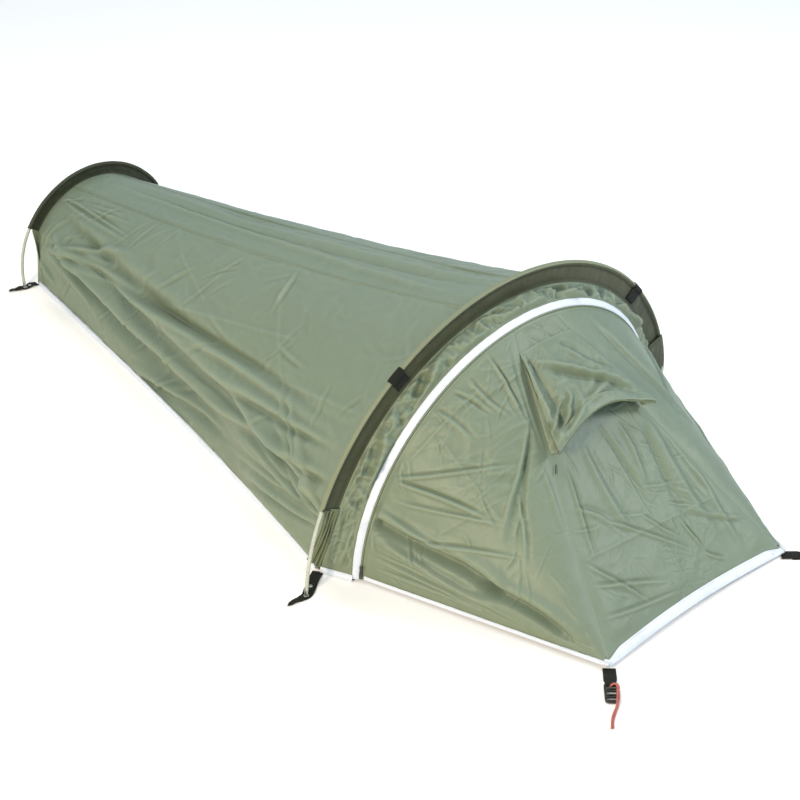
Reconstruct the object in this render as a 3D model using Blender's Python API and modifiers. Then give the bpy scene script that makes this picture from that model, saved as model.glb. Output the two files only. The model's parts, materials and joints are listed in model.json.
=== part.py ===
"""Hooped one-person bivy tent: two pole hoops, a tapering cabin and a zipped vestibule door.

Metres, +Z up. The door faces -Y and the foot end +Y. The origin is on the ground, midway
between the two tips of the main hoop. Every arch leans a little towards the door, and an
angle on an arch is counted in degrees from its -X side, over the top, to its +X side.
"""

import math

import bmesh
import bpy
from mathutils import Matrix, Vector

# ---- driving dimensions -------------------------------------------------------------------

FABRIC = 0.0010            # thickness of every fabric panel
WEBBING = 0.0020           # thickness of the straps
SEAM = 0.004               # how far two panels stay apart at a seam on the hoops

POLE_RADIUS = 0.00425
POLE_BORE = 0.0026
INSERT_RADIUS = 0.0021     # the inner tube that joins two pole sections
INSERT_BORE = 0.0014
CORD_RADIUS = 0.0009
PIN_RADIUS = 0.0025        # the end pin that stands in the eyelet of a tab
PIN_LENGTH = 0.009
TIP_LENGTH = 0.017
POLE_STEPS = 8             # straight facets in one pole section
ROUND_SIDES = 8            # sides of a round pole part

MAIN_SECTIONS = 5
FOOT_SECTIONS = 3
SLEEVE_DEPTH_MAIN = 0.050  # from the outside of the pole to the seam on the cabin
SLEEVE_DEPTH_FOOT = 0.035
SLEEVE_RADIUS = 0.0056     # radius of the channel that holds the pole
SLEEVE_SLIT = 0.0011       # half the distance between the two layers below the pole

ZIP_TAPE = 0.018           # width of the white tape round the door
COIL_RADIUS = 0.0016
TAPE_SLOPE = math.radians(50)   # how far the tape turns from radial towards the door

CABIN_CORNER = Vector((-0.516, 0.048, 0.0))     # floor corner beside the main hoop, left
FOOT_CORNER = Vector((-0.213, 1.660, 0.0))      # floor corner beside the foot hoop, left
DOOR_CORNER = Vector((-0.297, -0.622, 0.010))   # staked front corner of the door, left
RIDGE_ANGLE = 82.0         # where the door's left ridge meets the zip arch
RIDGE_GAP = 0.003          # how far the door's facets stay from the ridge line between them
ROOF_SEAM_MAIN = 80.0      # where the roof panel's left seam meets the main hoop
ROOF_SEAM_FOOT = 73.0      # and the foot hoop
MAIN_SLEEVE_START = 21.3   # angle where each sleeve ends and the bare pole begins
FOOT_SLEEVE_START = 31.0
ROOF_SAG = 0.065           # how far slack fabric dips half way along, as a share of height
SIDE_PULL = 0.045          # the same for the sides, as a share of width

VENT_TIP = 0.61            # height of the vent hood's two ends on the door, 0 to 1
VENT_TOP = 0.93            # where the hood is sewn on
VENT_RISE = 0.055          # how far the lip arches above its ends
VENT_STAND = 0.048         # how far the lip stands off the door
VENT_END_STAND = 0.7       # its two ends stand off by this share of that

BAND_WIDTH = 0.040
BAND_ANGLES = (53.5, 137.0)
STRAP_WIDTH = 0.030
STRAP_LENGTH = 0.030
STRAP_HEADING = Vector((-0.70, -0.71, 0.0)).normalized()
BUCKLE_LENGTH = 0.064
BUCKLE_WIDTH = 0.031
BUCKLE_HEIGHT = 0.008
TAIL_LENGTH = 0.070

ACROSS = Vector((1.0, 0.0, 0.0))
UP = Vector((0.0, 0.0, 1.0))


class Arch:
    """A circular arc that stands on the ground and leans towards the door."""

    def __init__(self, radius, centre, base_y, lean):
        self.radius = radius
        self.centre = centre
        self.foot = Vector((0.0, base_y, 0.0))
        lean = math.radians(lean)
        self.rise = Vector((0.0, -math.sin(lean), math.cos(lean)))
        self.ahead = Vector((0.0, -math.cos(lean), -math.sin(lean)))
        self.ground_angle = math.degrees(math.asin(-centre / radius))

    def point(self, angle, radius=None, ahead=0.0):
        radius = self.radius if radius is None else radius
        turn = math.radians(angle)
        height = self.centre + radius * math.sin(turn)
        return self.foot - ACROSS * radius * math.cos(turn) + self.rise * height + self.ahead * ahead

    def matrix(self):
        """Turns (across, rise, ahead) about the arch's centre into world coordinates."""
        columns = Matrix((ACROSS, self.rise, self.ahead)).transposed().to_4x4()
        return Matrix.Translation(self.foot + self.rise * self.centre) @ columns


# radius, height of the centre, y of the base line, lean in degrees; radii to the pole's middle
MAIN = Arch(0.600 - POLE_RADIUS, 0.0, 0.0, 3.6)
FOOT = Arch(0.2635 - POLE_RADIUS, 0.0485, 1.665, 2.2)
ZIP = Arch(0.481, 0.043, -0.033, 6.0)
NET = Arch(0.462, 0.043, -0.003, 6.0)


# ---- shared makers ------------------------------------------------------------------------

def clear_scene():
    for obj in list(bpy.data.objects):
        bpy.data.objects.remove(obj, do_unlink=True)


def collection(name):
    group = bpy.data.collections.new(name)
    bpy.context.scene.collection.children.link(group)
    return group


def material(name, colour, roughness, metallic=0.0):
    mat = bpy.data.materials.new(name)
    mat.use_nodes = True
    shader = mat.node_tree.nodes["Principled BSDF"]
    shader.inputs["Base Color"].default_value = (*colour, 1.0)
    shader.inputs["Roughness"].default_value = roughness
    shader.inputs["Metallic"].default_value = metallic
    mat.diffuse_color = (*colour, 1.0)
    return mat


def place(name, data, finish, matrix=None):
    """Link a mesh or curve as a named sub-part of the tent."""
    obj = bpy.data.objects.new(name, data)
    obj.data.materials.append(finish)
    TENT.objects.link(obj)
    if matrix is not None:
        obj.matrix_world = matrix
    return obj


def mesh_from(bm, name, smooth_angle=40):
    bmesh.ops.recalc_face_normals(bm, faces=bm.faces)
    mesh = bpy.data.meshes.new(name)
    bm.to_mesh(mesh)
    bm.free()
    mesh.shade_smooth()
    mesh.set_sharp_from_angle(angle=math.radians(smooth_angle))
    return mesh


def sheet(name, rows, finish, thickness=FABRIC, skip=lambda row, column: False, pivot=None):
    """A fabric panel: a grid of points, thickened evenly to both sides."""
    pivot = pivot or Vector()
    bm = bmesh.new()
    grid = [[bm.verts.new(point - pivot) for point in row] for row in rows]
    for i in range(len(grid) - 1):
        for j in range(len(grid[i]) - 1):
            if not skip(i, j):
                bm.faces.new((grid[i][j], grid[i][j + 1], grid[i + 1][j + 1], grid[i + 1][j]))
    loose = [vert for vert in bm.verts if not vert.link_faces]
    bmesh.ops.delete(bm, geom=loose, context="VERTS")
    obj = place(name, mesh_from(bm, name), finish, Matrix.Translation(pivot))
    solidify = obj.modifiers.new("thickness", "SOLIDIFY")
    solidify.thickness = thickness
    solidify.offset = 0.0
    solidify.use_even_offset = True
    return obj


def steps(start, end, count):
    """count + 1 evenly spaced values from start to end."""
    return [start + (end - start) * i / count for i in range(count + 1)]


def mirrored(rows):
    return [[Vector((-p.x, p.y, p.z)) for p in row] for row in rows]


def pole_tube(name, arch, start, end, count, outer, inner, finish):
    """An open tube along an arch: a flat ring spun about the arch's axis."""
    bm = bmesh.new()
    middle = -arch.radius * Vector((math.cos(math.radians(start)), -math.sin(math.radians(start)), 0))
    outward = middle.normalized()
    loops = []
    for radius in (outer, inner):
        corners = []
        for side in range(ROUND_SIDES):
            turn = 2 * math.pi * side / ROUND_SIDES
            offset = outward * math.cos(turn) + Vector((0, 0, 1)) * math.sin(turn)
            corners.append(bm.verts.new(middle + offset * radius))
        loops.append(corners)
    for side in range(ROUND_SIDES):
        after = (side + 1) % ROUND_SIDES
        bm.faces.new((loops[0][side], loops[0][after], loops[1][after], loops[1][side]))
    bmesh.ops.spin(bm, geom=bm.verts[:] + bm.edges[:] + bm.faces[:], cent=(0, 0, 0), axis=(0, 0, -1),
                   dvec=(0, 0, 0), angle=math.radians(end - start), steps=count, use_duplicate=False)
    return place(name, mesh_from(bm, name), finish, arch.matrix())


def round_line(name, points, radius, finish, pivot=None, resolution=2):
    """A solid cord or bead through the points."""
    pivot = pivot or Vector()
    curve = bpy.data.curves.new(name, "CURVE")
    curve.dimensions = "3D"
    curve.bevel_depth = radius
    curve.bevel_resolution = resolution
    curve.render_resolution_u = 0
    curve.use_fill_caps = True
    spline = curve.splines.new("POLY")
    spline.points.add(len(points) - 1)
    for spot, point in zip(spline.points, points):
        spot.co = (*(point - pivot), 1.0)
    return place(name, curve, finish, Matrix.Translation(pivot))


def flat_plate(name, outlines, thickness, finish, matrix):
    """A flat piece with its outline first and its holes after, lying in the matrix's XY plane."""
    curve = bpy.data.curves.new(name, "CURVE")
    curve.dimensions = "2D"
    curve.fill_mode = "BOTH"
    curve.extrude = thickness / 2
    curve.render_resolution_u = 0
    for outline in outlines:
        spline = curve.splines.new("POLY")
        spline.points.add(len(outline) - 1)
        spline.use_cyclic_u = True
        for spot, (x, y) in zip(spline.points, outline):
            spot.co = (x, y, 0.0, 1.0)
    return place(name, curve, finish, matrix)


def circle(centre_x, centre_y, radius, sides=12):
    return [(centre_x + radius * math.cos(2 * math.pi * i / sides),
             centre_y + radius * math.sin(2 * math.pi * i / sides)) for i in range(sides)]


def block(name, size, finish, matrix, bevel, cutters=()):
    """A small bevelled block, with any slots cut through it."""
    bm = bmesh.new()
    bmesh.ops.create_cube(bm, size=1.0)
    bmesh.ops.scale(bm, vec=size, verts=bm.verts)
    obj = place(name, mesh_from(bm, name), finish, matrix)
    rounding = obj.modifiers.new("rounding", "BEVEL")
    rounding.width = bevel
    rounding.segments = 1
    for cutter in cutters:
        cut = obj.modifiers.new("slot", "BOOLEAN")
        cut.operation = "DIFFERENCE"
        cut.solver = "EXACT"
        cut.object = cutter
    return obj


def cutter_block(name, size, matrix):
    bm = bmesh.new()
    bmesh.ops.create_cube(bm, size=1.0)
    bmesh.ops.scale(bm, vec=size, verts=bm.verts)
    obj = bpy.data.objects.new(name, mesh_from(bm, name))
    CUTTERS.objects.link(obj)
    obj.matrix_world = matrix
    obj.hide_render = True
    obj.display_type = "WIRE"
    return obj


def heading_matrix(position, forward, normal=UP):
    """A frame at a position: X forward, Z along the normal."""
    side = normal.cross(forward).normalized()
    turn = Matrix((forward.normalized(), side, normal.normalized())).transposed().to_4x4()
    return Matrix.Translation(position) @ turn


def flipped(point):
    return Vector((-point.x, point.y, point.z))


# ---- poles --------------------------------------------------------------------------------

def pole_grid(arch, sections):
    """The angles where the pole's facets meet, from its left tip to its right tip."""
    start = arch.ground_angle + math.degrees(TIP_LENGTH / arch.radius)
    return steps(start, 180.0 - start, sections * POLE_STEPS)


def make_pole(prefix, arch, sections):
    grid = pole_grid(arch, sections)
    joint_gap = math.degrees(0.0004 / arch.radius)
    for number in range(sections):
        first = grid[number * POLE_STEPS] + joint_gap
        last = grid[(number + 1) * POLE_STEPS] - joint_gap
        pole_tube(f"{prefix}_pole_section_{number + 1}", arch, first, last, POLE_STEPS,
                  POLE_RADIUS, POLE_BORE, ALLOY)
    for number in range(1, sections):
        middle = number * POLE_STEPS
        pole_tube(f"{prefix}_pole_insert_{number}", arch, grid[middle - 1], grid[middle + 1], 2,
                  INSERT_RADIUS, INSERT_BORE, STEEL)
    cord = [arch.point(angle) for angle in grid]
    round_line(f"{prefix}_shock_cord", cord, CORD_RADIUS, ELASTIC)
    make_tip(f"{prefix}_pole_tip_left", arch, 1)
    make_tip(f"{prefix}_pole_tip_right", arch, -1)


def make_tip(name, arch, side):
    """A turned end cap whose pin stands on the ground through the tab's eyelet."""
    turn = math.radians(arch.ground_angle)
    bottom = arch.point(arch.ground_angle)
    lean_out = ACROSS * math.sin(turn) + arch.rise * math.cos(turn)
    if side < 0:
        bottom = flipped(bottom)
        lean_out = flipped(lean_out)
    profile = ((0.0, TIP_LENGTH - 0.0008), (POLE_RADIUS, TIP_LENGTH - 0.0008),
               (POLE_RADIUS, PIN_LENGTH), (PIN_RADIUS, PIN_LENGTH), (PIN_RADIUS, 0.0015), (0.0, 0.0015))
    mesh = bpy.data.meshes.new(name)
    mesh.from_pydata([(x, 0.0, z) for x, z in profile], [(i, i + 1) for i in range(len(profile) - 1)], [])
    mesh.shade_smooth()
    upright = UP.rotation_difference(lean_out).to_matrix().to_4x4()
    obj = place(name, mesh, STEEL, Matrix.Translation(bottom) @ upright)
    screw = obj.modifiers.new("turn", "SCREW")
    screw.steps = 12
    screw.render_steps = 12
    screw.use_merge_vertices = True
    screw.merge_threshold = 0.0001
    return obj


def sleeve_profile(arch, depth):
    """Points (radius, ahead) of the fabric folded over the pole, open at its seam."""
    seam = arch.radius + POLE_RADIUS - depth
    opening = math.asin(SLEEVE_SLIT / SLEEVE_RADIUS)
    fold = [math.pi + opening + (2 * math.pi - 2 * opening) * i / 8 for i in range(9)]
    over = [(arch.radius + SLEEVE_RADIUS * math.cos(turn), SLEEVE_RADIUS * math.sin(turn)) for turn in fold]
    return [(seam, -SLEEVE_SLIT)] + over + [(seam, SLEEVE_SLIT)]


def make_sleeve(name, arch, depth, start, count, finish):
    profile = sleeve_profile(arch, depth)
    rows = [[arch.point(angle, radius, ahead) for radius, ahead in profile]
            for angle in steps(start, 180.0 - start, count)]
    sheet(name, rows, finish, thickness=0.0007)


def make_sleeve_band(name, angle):
    """Webbing folded over the main sleeve, where a guy line ties on."""
    half = math.degrees(BAND_WIDTH / MAIN.radius) / 2
    stand_off = 0.0020
    seam = MAIN.radius + POLE_RADIUS - SLEEVE_DEPTH_MAIN + 0.004
    fold = [math.pi + 0.2 + (2 * math.pi - 0.4) * i / 10 for i in range(11)]
    radius = SLEEVE_RADIUS + stand_off
    over = [(MAIN.radius + radius * math.cos(turn), radius * math.sin(turn)) for turn in fold]
    side = SLEEVE_SLIT + stand_off
    profile = [(seam, -side)] + over[1:-1] + [(seam, side)]
    rows = [[MAIN.point(turn, r, ahead) for r, ahead in profile]
            for turn in steps(angle - half, angle + half, 4)]
    sheet(name, rows, WEB_BLACK, thickness=0.0012)


# ---- cabin --------------------------------------------------------------------------------

def rail(arch, depth, corner, sleeve_start, behind):
    """A panel's edge along a hoop: the sleeve's seam, and straight down to the corner below it."""
    seam_radius = arch.radius + POLE_RADIUS - depth - 0.0006

    def at(angle):
        if sleeve_start <= angle <= 180.0 - sleeve_start:
            return arch.point(angle, seam_radius, -behind)
        foot_of_rail = corner + Vector((0.0, behind, 0.0))
        low = angle if angle < 90.0 else 180.0 - angle
        top = arch.point(sleeve_start, seam_radius, -behind)
        point = foot_of_rail.lerp(top, max(low, 0.0) / sleeve_start)
        return point if angle < 90.0 else flipped(point)

    return at


def cabin_point(angle, along):
    """A point of the cabin's fabric, along 0 at the main hoop and 1 at the foot hoop."""
    point = MAIN_RAIL(angle).lerp(FOOT_RAIL(angle), along)
    slack = 4.0 * along * (1.0 - along)
    point.x *= 1.0 - SIDE_PULL * slack
    point.z *= 1.0 - ROOF_SAG * slack
    return point


def make_cabin():
    seam = 0.25
    low = 1.2
    side = []
    roof = []
    for along in steps(0.0, 1.0, 12):
        edge = ROOF_SEAM_MAIN + (ROOF_SEAM_FOOT - ROOF_SEAM_MAIN) * along
        side.append([cabin_point(angle, along) for angle in steps(low, edge - seam, 10)])
        roof.append([cabin_point(angle, along) for angle in steps(edge + seam, 180.0 - edge - seam, 4)])
    sheet("cabin_side_left", side, GREEN)
    sheet("cabin_side_right", mirrored(side), GREEN)
    sheet("cabin_roof", roof, GREEN)


def floor_edge(along):
    return cabin_point(0.0, along)


def make_floor():
    inset = 0.0035
    level = FABRIC / 2
    stations = steps(0.0, 1.0, 10)
    edge = [ZIP.point(ZIP.ground_angle)] + [floor_edge(v) for v in stations]
    edge[-1] = FOOT_CORNER.copy()
    rows = []
    for point in edge:
        half = -point.x - inset
        rows.append([Vector((half * share, point.y, level)) for share in (-1.0, -0.5, 0.0, 0.5, 1.0)])
    sheet("floor", rows, GROUND_SHEET)


def make_foot_panel():
    """The panel that closes the foot end, sewn round the foot hoop."""
    behind = 0.0045
    inner = rail(FOOT, SLEEVE_DEPTH_FOOT, FOOT_CORNER, FOOT_SLEEVE_START, -behind)
    rows = []
    for angle in steps(3.0, 84.0, 10):
        left = inner(angle) + Vector((0.004, 2 * behind, 0.0))
        right = flipped(left)
        row = [left.lerp(right, share) for share in steps(0.0, 1.0, 6)]
        for point, share in zip(row, steps(0.0, 1.0, 6)):
            point.y += 0.018 * math.sin(math.pi * share) * math.sin(math.radians(angle * 2))
        rows.append(row)
    sheet("foot_panel", rows, GREEN)


def make_body_trims():
    """White binding along the foot of the cabin's sides and the foot panel."""
    height = 0.012
    rows = []
    for lift in (0.0012, height):
        row = []
        for v in steps(0.015, 0.985, 10):
            point = floor_edge(v)
            row.append(Vector((point.x - 0.0024, point.y, lift)))
        rows.append(row)
    sheet("body_trim_left", rows, TRIM)
    sheet("body_trim_right", mirrored(rows), TRIM)
    end_y = FOOT_CORNER.y + 0.010
    half = -FOOT_CORNER.x - 0.010
    rows = [[Vector((x, end_y, z)) for x in steps(-half, half, 4)] for z in (0.0012, height)]
    sheet("body_trim_foot", rows, TRIM)


# ---- zip arch and front -------------------------------------------------------------------

def tape_point(angle, across, out=0.0):
    """Beside the middle of the zip tape: across is positive towards the door, out off its face."""
    radius = ZIP.radius - math.cos(TAPE_SLOPE) * across + math.sin(TAPE_SLOPE) * out
    ahead = math.sin(TAPE_SLOPE) * across + math.cos(TAPE_SLOPE) * out
    return ZIP.point(angle, radius, ahead)


def make_front_strip():
    """The fixed strip between the main sleeve and the zip."""
    front_rail = rail(MAIN, SLEEVE_DEPTH_MAIN, CABIN_CORNER, MAIN_SLEEVE_START, -SEAM)
    rows = []
    for share in steps(0.0, 1.0, 38):
        hoop_angle = 1.2 + (180.0 - 2.4) * share
        zip_angle = -3.6 + (180.0 + 7.2) * share
        outer = front_rail(hoop_angle)
        inner = tape_point(zip_angle, -ZIP_TAPE / 2 - 0.0010)
        rows.append([outer.lerp(inner, v) for v in (0.0, 0.5, 1.0)])
    sheet("front_strip", rows, GREEN)


def make_zip():
    low = -4.4
    angles = steps(low, 180.0 - low, 40)
    rows = [[tape_point(a, across) for across in (-ZIP_TAPE / 2, ZIP_TAPE / 2)] for a in angles]
    sheet("zip_tape", rows, TRIM)
    coil = [tape_point(a, ZIP_COIL_ACROSS) for a in steps(low + 0.3, 179.7 - low, 40)]
    round_line("zip_coil", coil, COIL_RADIUS, TRIM, resolution=1)


def slider_frame(point_at, angle, out):
    """A frame on an arch: X along the teeth, upwards, Z off the fabric."""
    here = point_at(angle, ZIP_COIL_ACROSS, out)
    along = (point_at(angle + 0.5, ZIP_COIL_ACROSS, out) - here).normalized()
    normal = (point_at(angle, ZIP_COIL_ACROSS, out + 0.01) - here).normalized()
    return heading_matrix(here, along, normal)


def make_slider():
    body = slider_frame(tape_point, 0.0, COIL_RADIUS + 0.0030)
    block("zip_slider", (0.013, 0.009, 0.0040), ZIP_BLACK, body, 0.0008)
    hinge = body @ Matrix.Translation((-0.0075, 0.0, 0.0))
    outline = [(-0.0005, -0.002), (-0.004, -0.0035), (-0.020, -0.0035), (-0.0225, -0.0015),
               (-0.0225, 0.0015), (-0.020, 0.0035), (-0.004, 0.0035), (-0.0005, 0.002)]
    flat_plate("zip_pull", [outline, circle(-0.018, 0.0, 0.0016, 8)], 0.0014, ZIP_BLACK, hinge)


def net_point(angle, across, out=0.0):
    return NET.point(angle, NET.radius - across, -out)


def make_net_door():
    """The insect-net door inside, zipped to its own band and hinged at the sill."""
    low = 1.5
    angles = steps(low, 180.0 - low, 28)
    rows = [[net_point(a, across) for across in (-0.008, 0.008)] for a in angles]
    sheet("net_door_band", rows, GREEN)
    rows = []
    for angle in steps(0.0, 84.0, 10):
        left = net_point(angle, 0.011)
        right = flipped(left)
        rows.append([left.lerp(right, share) for share in steps(0.0, 1.0, 6)])
    sheet("net_door", rows, NET_BLACK, pivot=net_hinge_point())
    body = Matrix.Translation(net_point(4.0, 0.0, 0.0035)) @ NET.matrix().to_3x3().to_4x4()
    block("net_zip_slider", (0.009, 0.013, 0.0035), ZIP_BLACK, body, 0.0007)


def net_hinge_point():
    sill = net_point(0.0, 0.011)
    return Vector((0.0, sill.y, sill.z))


# ---- vestibule door -----------------------------------------------------------------------

def hem_point(share):
    """The door's front hem, from its left corner to its right one; its middle lifts a little."""
    left = DOOR_CORNER + Vector((RIDGE_GAP, 0.0, 0.0))
    point = left.lerp(flipped(left), share)
    rise = math.sin(math.pi * share)
    return point + Vector((0.0, 0.010 * rise, 0.008 * rise))


def front_point(share, height, out=0.0):
    """A point of the door's front facet: share from left to right, height from hem to zip."""
    gap = math.degrees(RIDGE_GAP / ZIP.radius)
    angle = RIDGE_ANGLE + gap + (180.0 - 2 * (RIDGE_ANGLE + gap)) * share
    top = tape_point(angle, DOOR_EDGE_ACROSS)
    normal = Vector((0.0, -0.71, 0.70))
    return hem_point(share).lerp(top, height) + normal * out


def side_point(angle, height):
    """A point of the left facet: straight lines fan out from the staked corner to the zip."""
    corner = DOOR_CORNER + Vector((-RIDGE_GAP, RIDGE_GAP / 2, 0.0))
    top = tape_point(angle, DOOR_EDGE_ACROSS)
    return corner.lerp(top, height)


def make_door():
    vent = lambda row, column: row in (10, 11) and 3 <= column <= 8
    rows = [[front_point(u, v) for u in steps(0.0, 1.0, 12)] for v in steps(0.0, 1.0, 16)]
    sheet("door_front", rows, GREEN, skip=vent, pivot=Vector((0.0, DOOR_CORNER.y, DOOR_CORNER.z)))
    angles = steps(-1.8, RIDGE_ANGLE - math.degrees(RIDGE_GAP / ZIP.radius), 14)
    rows = [[side_point(a, v) for a in angles] for v in steps(0.05, 1.0, 8)]
    sheet("door_left", rows, GREEN, pivot=DOOR_CORNER)
    sheet("door_right", mirrored(rows), GREEN, pivot=flipped(DOOR_CORNER))


def make_door_hems():
    """White binding folded over the door's lower edges."""
    rows = [[front_point(u, v, 0.0022) - Vector((0, 0, drop)) for u in steps(0.015, 0.985, 12)]
            for v, drop in ((0.0, 0.009), (0.0, 0.0), (0.024, 0.0))]
    sheet("door_hem_front", rows, TRIM, pivot=Vector((0.0, DOOR_CORNER.y, DOOR_CORNER.z)))
    outward = Vector((-0.0022, 0.0, 0.0))
    low = [side_point(-1.8, v) + outward for v in steps(0.06, 0.985, 8)]
    rows = [[Vector((p.x, p.y, z_low)) for p, z_low in zip(low, steps(0.0035, 0.0020, 8))],
            [Vector((p.x, p.y, z_high)) for p, z_high in zip(low, steps(0.0160, 0.0120, 8))]]
    sheet("door_hem_left", rows, TRIM, pivot=DOOR_CORNER)
    sheet("door_hem_right", mirrored(rows), TRIM, pivot=flipped(DOOR_CORNER))


def hood_point(share, drop, beyond=0.0):
    """A point of the vent hood: drop from 0 at its top seam to 1 at its arched lip."""
    arch = math.sin(math.pi * share)
    lip = VENT_TIP + VENT_RISE * arch
    stand = VENT_STAND * drop ** 1.3 * (VENT_END_STAND + (1.0 - VENT_END_STAND) * arch)
    return front_point(share, VENT_TOP + (lip - VENT_TOP) * drop - beyond, 0.004 + stand)


def vent_hinge_point():
    return front_point(0.5, VENT_TOP, 0.004)


def make_vent():
    pivot = vent_hinge_point()
    shares = steps(0.0, 1.0, 12)
    rows = [[hood_point(u, drop) for u in shares] for drop in steps(0.0, 1.0, 8)]
    sheet("vent_hood", rows, GREEN, pivot=pivot)
    lip = [hood_point(u, 1.0, 0.0075) for u in shares]
    round_line("vent_lip_batten", lip, 0.0020, GREEN_DARK, pivot=pivot, resolution=1)
    rows = [[front_point(u, v, -0.0025) for u in steps(0.2, 0.8, 8)] for v in steps(0.58, 0.79, 4)]
    sheet("vent_net", rows, NET_BLACK, pivot=pivot)


# ---- webbing and corner fittings ----------------------------------------------------------

def tab_outline(path, half_widths):
    """An outline round a bent strip with a rounded outer end."""
    left = []
    right = []
    for i, point in enumerate(path):
        before = path[max(i - 1, 0)]
        after = path[min(i + 1, len(path) - 1)]
        forward = (after - before).normalized()
        side = Vector((-forward.y, forward.x, 0.0)) * half_widths[i]
        left.append(point + side)
        right.append(point - side)
    end = path[-1]
    forward = (path[-1] - path[-2]).normalized()
    start_turn = math.atan2(forward.y, forward.x) + math.pi / 2
    nose = [end + half_widths[-1] * Vector((math.cos(start_turn - turn), math.sin(start_turn - turn), 0.0))
            for turn in steps(0.0, math.pi, 6)[1:-1]]
    return [(p.x, p.y) for p in left + nose + right[::-1]]


def make_tab(name, root, pole, end, width, mirror):
    """Webbing from a floor corner to the peg, with the eyelet that holds the pole's pin."""
    path = [root, root.lerp(pole, 0.55), pole, pole.lerp(end, 0.6), end]
    half = width / 2
    outline = tab_outline(path, (half, half, half * 0.95, half * 0.7, half * 0.45))
    spare = root.lerp(pole, 0.62)
    holes = [circle(pole.x, pole.y, PIN_RADIUS + 0.0012), circle(spare.x, spare.y, 0.0025, 8)]
    outlines = [outline] + holes
    if mirror:
        outlines = [[(-x, y) for x, y in loop][::-1] for loop in outlines]
    flat_plate(name, outlines, WEBBING, WEB_BLACK, Matrix.Translation((0.0, 0.0, WEBBING / 2)))


def make_tabs():
    main_pin = MAIN.point(MAIN.ground_angle)
    foot_pin = FOOT.point(FOOT.ground_angle)
    main_root = CABIN_CORNER + Vector((-0.007, -0.004, 0.0))
    foot_root = FOOT_CORNER + Vector((-0.007, 0.004, 0.0))
    main_end = main_pin + Vector((-0.048, -0.001, 0.0))
    foot_end = foot_pin + Vector((-0.044, 0.010, 0.0))
    for side, mirror in (("left", False), ("right", True)):
        make_tab(f"main_pole_tab_{side}", main_root, main_pin, main_end, 0.026, mirror)
        make_tab(f"foot_pole_tab_{side}", foot_root, foot_pin, foot_end, 0.024, mirror)


def make_corner(side_name, flip):
    """Strap, ladder-lock buckle and cord tail at one front corner of the door."""
    turn = flipped if flip else lambda point: point
    heading = turn(STRAP_HEADING)
    root = turn(DOOR_CORNER + STRAP_HEADING * 0.010)
    root.z = 0.0030
    strap_middle = root + heading * (STRAP_LENGTH / 2)
    block(f"corner_strap_{side_name}", (STRAP_LENGTH, STRAP_WIDTH, WEBBING), WEB_BLACK,
          heading_matrix(strap_middle, heading), 0.0004)
    buckle_root = root + heading * (STRAP_LENGTH + 0.0015)
    middle = buckle_root + heading * (BUCKLE_LENGTH / 2)
    middle.z = BUCKLE_HEIGHT / 2 + 0.0005
    frame = heading_matrix(middle, heading)
    slots = []
    for number, x in enumerate((-0.019, 0.000, 0.019)):
        slot_frame = frame @ Matrix.Translation((x, 0.0, 0.0))
        slots.append(cutter_block(f"{side_name}_slot_{number}", (0.0075, 0.021, 0.03), slot_frame))
    block(f"corner_buckle_{side_name}", (BUCKLE_LENGTH, BUCKLE_WIDTH, BUCKLE_HEIGHT), PLASTIC_BLACK,
          frame, 0.0018, slots)
    tail_root = buckle_root + heading * (BUCKLE_LENGTH + 0.003)
    sideways = UP.cross(heading) * (-1.0 if flip else 1.0)
    tail = []
    for share in steps(0.0, 1.0, 8):
        point = tail_root + heading * (TAIL_LENGTH * share) + sideways * (0.006 * math.sin(2.6 * share))
        tail.append(Vector((point.x, point.y, 0.0030)))
    round_line(f"corner_cord_{side_name}", tail, 0.0020, CORD_RED, pivot=tail[0])


# ---- finishes and assembly ----------------------------------------------------------------

clear_scene()
TENT = collection("bivy_tent")
CUTTERS = collection("cutters")

GREEN = material("sage_fabric", (0.24, 0.32, 0.22), 0.55)
GREEN_DARK = material("olive_fabric", (0.075, 0.088, 0.045), 0.6)
FOOT_OLIVE = material("dark_olive_fabric", (0.034, 0.042, 0.022), 0.6)
GROUND_SHEET = material("ground_sheet", (0.10, 0.11, 0.09), 0.7)
TRIM = material("white_binding", (0.82, 0.86, 0.92), 0.6)
NET_BLACK = material("insect_net", (0.03, 0.03, 0.03), 0.9)
WEB_BLACK = material("black_webbing", (0.025, 0.030, 0.022), 0.8)
PLASTIC_BLACK = material("black_plastic", (0.015, 0.017, 0.015), 0.35)
ZIP_BLACK = material("zip_black", (0.02, 0.025, 0.02), 0.45)
CORD_RED = material("red_cord", (0.55, 0.17, 0.15), 0.7)
ELASTIC = material("shock_cord", (0.7, 0.7, 0.68), 0.8)
ALLOY = material("pole_grey", (0.52, 0.52, 0.47), 0.4, 0.3)
STEEL = material("pole_metal", (0.60, 0.60, 0.60), 0.3, 1.0)

ZIP_COIL_ACROSS = ZIP_TAPE / 2 + COIL_RADIUS + 0.0008
DOOR_EDGE_ACROSS = ZIP_COIL_ACROSS + COIL_RADIUS + 0.0012

make_pole("main", MAIN, MAIN_SECTIONS)
make_pole("foot", FOOT, FOOT_SECTIONS)
make_sleeve("main_sleeve", MAIN, SLEEVE_DEPTH_MAIN, MAIN_SLEEVE_START, 30, GREEN_DARK)
make_sleeve("foot_sleeve", FOOT, SLEEVE_DEPTH_FOOT, FOOT_SLEEVE_START, 22, FOOT_OLIVE)
make_sleeve_band("sleeve_band_left", BAND_ANGLES[0])
make_sleeve_band("sleeve_band_right", BAND_ANGLES[1])

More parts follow.
